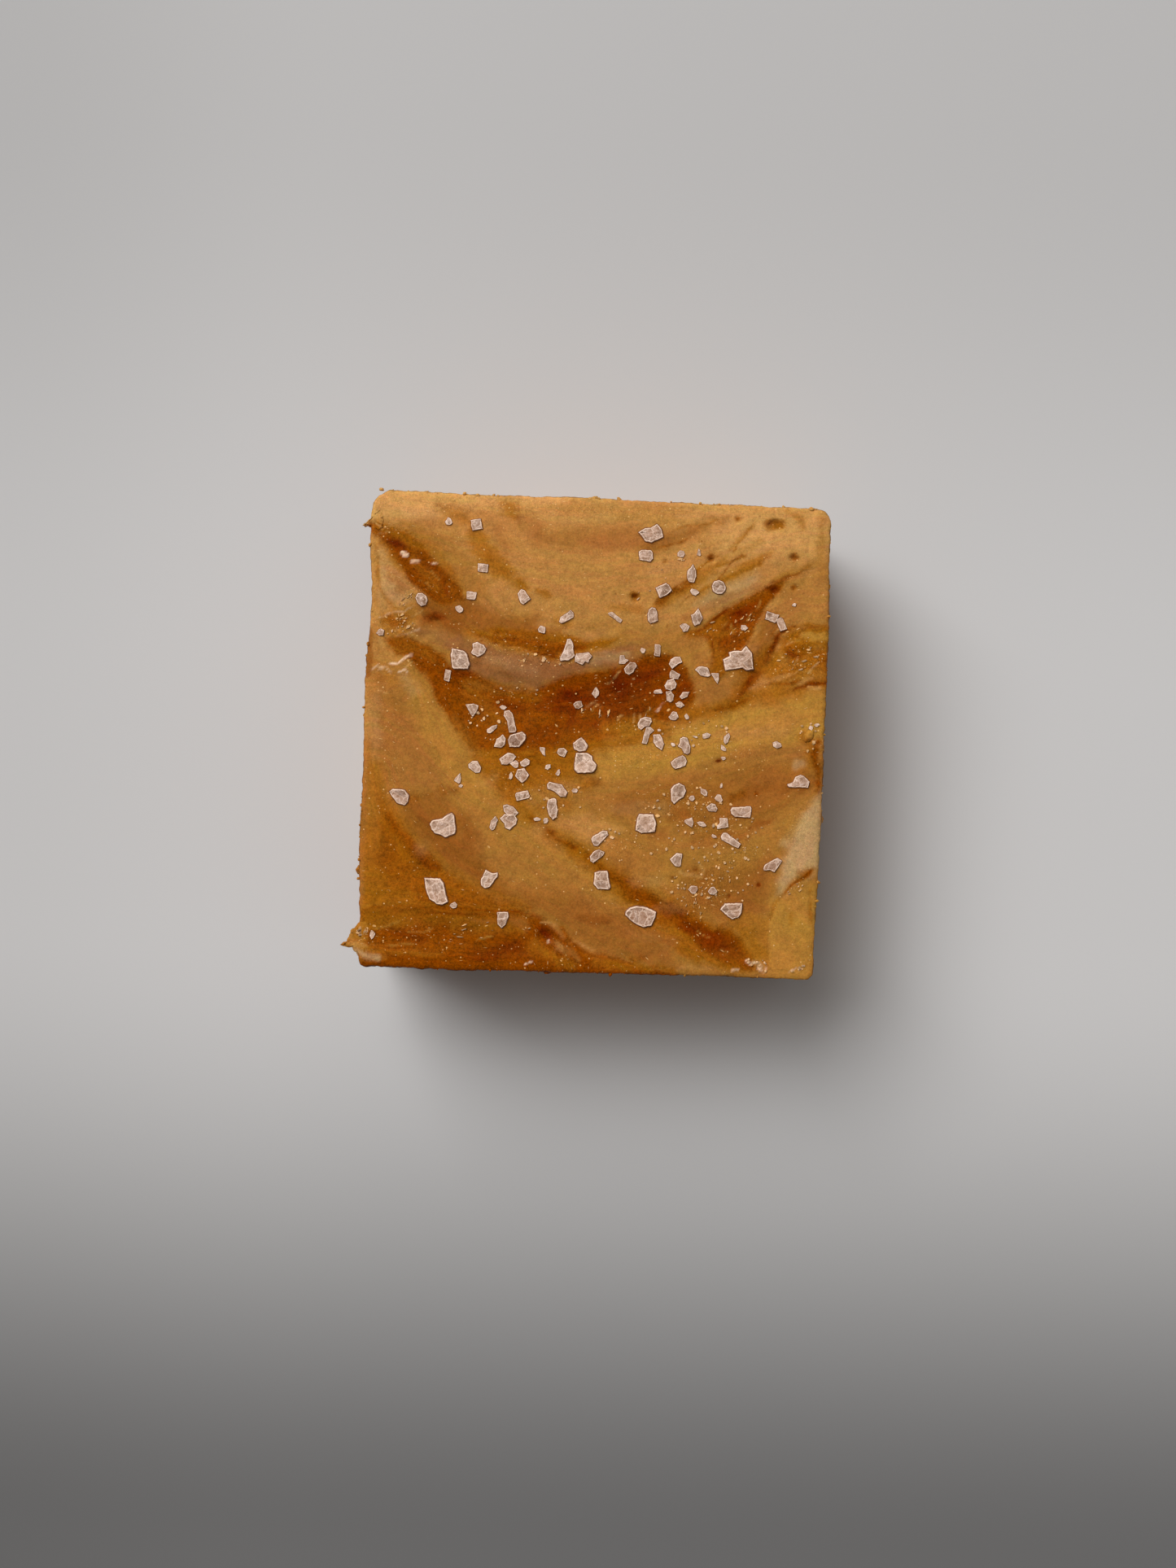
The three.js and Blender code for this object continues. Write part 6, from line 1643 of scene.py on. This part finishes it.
def specks(nodes, vector, scale, reach, jitter):
    """Small ragged dots, one to a cell: how far inside one, 0 to 1, and its cell's two random numbers."""
    cells = nodes.add("ShaderNodeTexVoronoi")
    nodes.put(cells.inputs["Vector"], vector)
    nodes.put(cells.inputs["Scale"], scale)
    numbers = nodes.add("ShaderNodeSeparateColor")
    nodes.put(numbers.inputs[0], cells.outputs["Color"])
    distance = nodes.math("MULTIPLY_ADD", jitter, reach, cells.outputs["Distance"])
    inside = nodes.span(distance, reach * 1.4, reach * 1.05)
    return inside, numbers.outputs[0], numbers.outputs[1]


def fudge_material():
    """Fudge: the painted colours with streaks along their flow, sugar grain, specks, wet caramel and painted
    shade along the rim.
    """
    nodes = Nodes("fudge")
    spot = millimetres(nodes)
    wet = nodes.value("wet")
    wall = nodes.value("wall")
    thick = nodes.value("sparkle")
    colour = (0.0, 0.0, 0.0)
    for ink, shade in PALETTE.items():
        colour = nodes.vector("MULTIPLY_ADD", linear(shade)[:3], nodes.value(ink), colour)
    lift = nodes.add("ShaderNodeCombineXYZ")
    nodes.put(lift.inputs["Z"], nodes.math("MULTIPLY", nodes.value("layer"), 1.8))
    flow = nodes.vector("MULTIPLY_ADD", spot, (0.4, 0.4, 0.0), lift.outputs[0])
    streaks = nodes.noise(flow, 1.0, detail=6.0, roughness=0.65)
    mottle = nodes.noise(spot, 1.3, detail=5.0, roughness=0.65)
    sugar = nodes.noise(spot, 4.6, detail=3.0, roughness=0.8)
    depth = nodes.span(wet, 0.0, 1.0, 0.06, 0.16)
    streaky = nodes.math("MULTIPLY", nodes.span(streaks, 0.32, 0.68, -1.0, 1.0), depth)
    light = nodes.math("ADD", streaky, nodes.span(mottle, 0.3, 0.7, 0.9, 1.1))
    grit_depth = nodes.math("MULTIPLY_ADD", wet, 0.22, 0.16)
    grit = nodes.math("MULTIPLY", nodes.span(sugar, 0.3, 0.7, -1.0, 1.0), grit_depth)
    light = nodes.math("ADD", light, grit)
    powder = nodes.noise(spot, 11.0, detail=1.0)
    dust_depth = nodes.math("MULTIPLY_ADD", thick, 0.2, 0.05)
    dust = nodes.math("MULTIPLY", nodes.span(powder, 0.32, 0.68, -1.0, 1.0), dust_depth)
    light = nodes.math("ADD", light, dust)
    # Painted shade: the colour darkens along the thin line round the rim.
    light = nodes.math("MULTIPLY", light, nodes.math("MULTIPLY_ADD", nodes.value("rim_shade_and_highlight"), -0.5, 1.0))
    tinge = nodes.noise(nodes.scaled(flow, 0.6), 1.0, detail=4.0, roughness=0.7)
    rosy = nodes.blend(nodes.span(tinge, 0.35, 0.65), (1.05, 0.95, 0.94, 1.0), (0.98, 1.02, 0.9, 1.0))
    colour = nodes.vector("MULTIPLY", colour, rosy)
    colour = nodes.scaled(colour, light)
    inside, lit, dark = specks(nodes, spot, 2.6, 0.24, sugar)
    fibre, fibre_lit, _ = specks(nodes, flow, 2.4, 0.2, sugar)
    tiny, tiny_lit, _ = specks(nodes, spot, 4.5, 0.26, sugar)
    bright = 0.0
    for dot, chance, share in [(inside, lit, 1.0), (tiny, tiny_lit, 0.45), (fibre, fibre_lit, 0.9)]:
        shows = nodes.math("LESS_THAN", chance, nodes.math("MULTIPLY", thick, share))
        bright = nodes.math("MAXIMUM", bright, nodes.math("MULTIPLY", dot, shows))
    bright = nodes.math("MULTIPLY", bright, nodes.span(dark, 0.0, 1.0, 0.45, 0.9))
    colour = nodes.blend(bright, colour, linear(FLECK))
    pale = nodes.math("MULTIPLY", nodes.math("SUBTRACT", 1.0, wet), 0.45)
    freckle = nodes.math("MULTIPLY", inside, nodes.math("GREATER_THAN", dark, 0.95))
    colour = nodes.blend(nodes.math("MULTIPLY", freckle, pale), colour, linear(FRECKLE))
    rough = nodes.math("MULTIPLY_ADD", wall, 0.14, nodes.math("MULTIPLY_ADD", wet, -0.22, 0.56))
    rough = nodes.math("ADD", rough, nodes.span(sugar, 0.3, 0.7, -0.05, 0.05))
    fine = nodes.math("MULTIPLY_ADD", sugar, 0.6, nodes.math("MULTIPLY", streaks, 0.5))
    fine = nodes.math("MULTIPLY_ADD", bright, 0.5, fine)
    coarse = nodes.math("MULTIPLY_ADD", mottle, wall, fine)
    return nodes.finish(
        Base_Color=colour,
        Roughness=rough,
        Specular_IOR_Level=0.1,
        Specular_Tint=(1.0, 0.68, 0.14, 1.0),
        Subsurface_Weight=0.15,
        Subsurface_Radius=(1.0, 0.4, 0.15),
        Subsurface_Scale=1.2 * MM,
        Normal=nodes.bump(coarse, 0.6),
    )


def salt_material():
    """Salt: milky streaked crystals with painted highlights on their rims and facet ridges, painted light and
    shade on their facets, a dark seam that is partly wet caramel and partly painted contact shade, and the
    sugar dust.
    """
    nodes = Nodes("salt")
    spot = millimetres(nodes)
    rim = nodes.value("rim")
    own = nodes.add("ShaderNodeCombineXYZ")
    for key, name, scale in [("X", "lengthways", 1.2), ("Y", "sideways", 4.5), ("Z", "tint", 60.0)]:
        nodes.put(own.inputs[key], nodes.math("MULTIPLY", nodes.value(name), scale))
    strata = nodes.noise(own.outputs[0], 1.0, detail=3.0, roughness=0.7)
    cloud = nodes.noise(spot, 2.6, detail=5.0, roughness=0.75)
    mixed = nodes.math("MULTIPLY_ADD", strata, 0.45, nodes.math("MULTIPLY", cloud, 0.55))
    inside = nodes.blend(nodes.span(mixed, 0.42, 0.5), linear(SALT_DARK), linear(SALT_INSIDE))
    inside = nodes.blend(nodes.span(mixed, 0.54, 0.6), inside, linear(SALT_BRIGHT))
    inside = nodes.blend(nodes.math("MULTIPLY", nodes.value("clear"), 0.75), inside, linear(SALT_CLEAR))
    bent = nodes.vector("ADD", spot, cloud)
    cells = nodes.add("ShaderNodeTexVoronoi")
    ridges = nodes.add("ShaderNodeTexVoronoi", feature="DISTANCE_TO_EDGE")
    for texture in (cells, ridges):
        nodes.put(texture.inputs["Vector"], bent)
        nodes.put(texture.inputs["Scale"], 1.3)
    # Painted light and shade on the facets: each cell a little lighter or darker.
    facet_light_and_shade = nodes.add("ShaderNodeSeparateColor")
    nodes.put(facet_light_and_shade.inputs[0], cells.outputs["Color"])
    inside = nodes.scaled(inside, nodes.span(facet_light_and_shade.outputs[0], 0.0, 1.0, 0.82, 1.14))
    # Painted highlights along the ridges between facets.
    ridge_highlight = nodes.span(ridges.outputs["Distance"], 0.07, 0.02, 0.0, 0.5)
    inside = nodes.blend(ridge_highlight, inside, linear(SALT_RIM_HIGHLIGHT))
    # Painted highlights on the rims, stronger where the streaks run.
    rim_shade_and_highlight = nodes.math("MULTIPLY", nodes.span(rim, 0.2, 0.9), nodes.span(strata, 0.35, 0.6, 0.35, 1.0))
    colour = nodes.blend(rim_shade_and_highlight, inside, linear(SALT_RIM_HIGHLIGHT))
    sugar = nodes.scaled(linear(SUGAR)[:3], nodes.span(nodes.value("tint"), 0.0, 1.0, 0.5, 1.15))
    colour = nodes.blend(nodes.value("golden"), colour, sugar)
    # A dark seam at the foot: wet caramel, with painted contact shade where the grain meets the fudge.
    seam_and_shade = nodes.span(nodes.value("seam_and_shade"), 0.3, 0.7)
    colour = nodes.blend(seam_and_shade, colour, linear(SALT_SEAM_AND_SHADE))
    return nodes.finish(
        Base_Color=colour,
        Roughness=nodes.span(cloud, 0.3, 0.7, 0.25, 0.42),
        IOR=1.54,
        Specular_IOR_Level=0.3,
        Subsurface_Weight=0.1,
        Subsurface_Radius=(1.0, 0.8, 0.7),
        Subsurface_Scale=0.2 * MM,
        Normal=nodes.bump(mixed, 0.7),
    )


# Half the floor's side, and its tint.
FLOOR_REACH = 600.0
FLOOR_TINT = (0.995, 1.0, 1.025)


def floor():
    """A plain pale floor with painted shade that passes softly from side to side."""
    nodes = Nodes("floor")
    split = nodes.add("ShaderNodeSeparateXYZ")
    nodes.put(split.inputs[0], millimetres(nodes))
    x = split.outputs["X"]
    y = split.outputs["Y"]
    # Painted shade: darker towards the near side, where the light falls off, and a little towards the far
    # side and the left.
    near = nodes.span(y, -74.0, -18.0, 0.23, 1.0)
    nearest = nodes.span(y, -72.0, -130.0, 0.0, 1.0)
    aside = nodes.span(nodes.math("ABSOLUTE", x), 50.0, 125.0)
    near = nodes.math("MAXIMUM", near, nodes.math("MAXIMUM", nearest, aside))
    far = nodes.span(y, 4.0, 58.0, 1.0, 0.82)
    left = nodes.span(x, -60.0, -24.0, 0.52, 0.585)
    shade = nodes.math("MULTIPLY", nodes.math("MULTIPLY", near, far), left)
    material = nodes.finish(Base_Color=nodes.scaled(FLOOR_TINT, shade), Roughness=0.9)
    corners = FLOOR_REACH * np.array([(-1, -1, 0), (1, -1, 0), (1, 1, 0), (-1, 1, 0)])
    mesh_object("floor", corners, [[0, 1, 2, 3]], material)


def area_light(name, toward, distance, size, spread, power, colour):
    """A square light that faces the object from one direction."""
    data = bpy.data.lights.new(name, "AREA")
    data.shape = "SQUARE"
    data.size = size * MM
    data.energy = power
    data.spread = math.radians(spread)
    data.color = colour
    lamp = bpy.data.objects.new(name, data)
    bpy.context.scene.collection.objects.link(lamp)
    direction = np.array(toward) / np.linalg.norm(toward)
    lamp.location = direction * distance * MM
    lamp.rotation_euler = lamp.location.to_track_quat("Z", "Y").to_euler()


# How the fill from all round passes along two directions: (axis, from, to, strength there, and there).
SKY = [("Z", 0.5, 0.95, 0.42, 0.06), ("Y", -0.9, 0.7, 0.55, 1.3)]


def lighting():
    """Soft light from the upper left, with a warm fill from all round that leaves the sky above darker."""
    area_light(
        "key", toward=(-9.2, 10.3, 19), distance=1400, size=870, spread=180, power=19.4,
        colour=(1.0, 0.985, 0.96),
    )
    world = bpy.data.worlds.new("studio")
    world.use_nodes = True
    tree = world.node_tree
    background = tree.nodes["Background"]
    spot = tree.nodes.new("ShaderNodeTexCoord")
    parts = tree.nodes.new("ShaderNodeSeparateXYZ")
    both = tree.nodes.new("ShaderNodeMath")
    both.operation = "MULTIPLY"
    tree.links.new(spot.outputs["Generated"], parts.inputs[0])
    for (axis, *numbers), factor in zip(SKY, both.inputs):
        ramp = tree.nodes.new("ShaderNodeMapRange")
        tree.links.new(parts.outputs[axis], ramp.inputs["Value"])
        for socket, value in zip(("From Min", "From Max", "To Min", "To Max"), numbers):
            ramp.inputs[socket].default_value = value
        tree.links.new(ramp.outputs[0], factor)
    tree.links.new(both.outputs[0], background.inputs["Strength"])
    background.inputs["Color"].default_value = (1.0, 0.93, 0.86, 1.0)
    bpy.context.scene.world = world
    bpy.context.scene.view_settings.view_transform = "Standard"


# The camera's place, in metres, and its turn in degrees.
CAMERA_PLACE = (-0.23 * MM, -4.06 * MM, 201 * MM)
CAMERA_TURN = 2.1


def camera():
    """A camera straight above, slightly turned."""
    data = bpy.data.cameras.new("camera")
    data.lens = 50
    data.sensor_width = 36
    data.clip_start = 0.01
    view = bpy.data.objects.new("camera", data)
    bpy.context.scene.collection.objects.link(view)
    view.location = CAMERA_PLACE
    view.rotation_euler = (0, 0, math.radians(CAMERA_TURN))
    bpy.context.scene.camera = view


def dress():
    """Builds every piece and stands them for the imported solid."""
    paste = fudge_material()
    block, tree = fudge_block(paste)
    pieces = [(block, "fudge"), (crumbs(paste), "fudge"), (salt(salt_material(), tree), "salt")]
    for piece, slot in pieces:
        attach(piece, "root")
    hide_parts("fudge")


dress()
floor()
lighting()
camera()

bpy.context.view_layer.update()
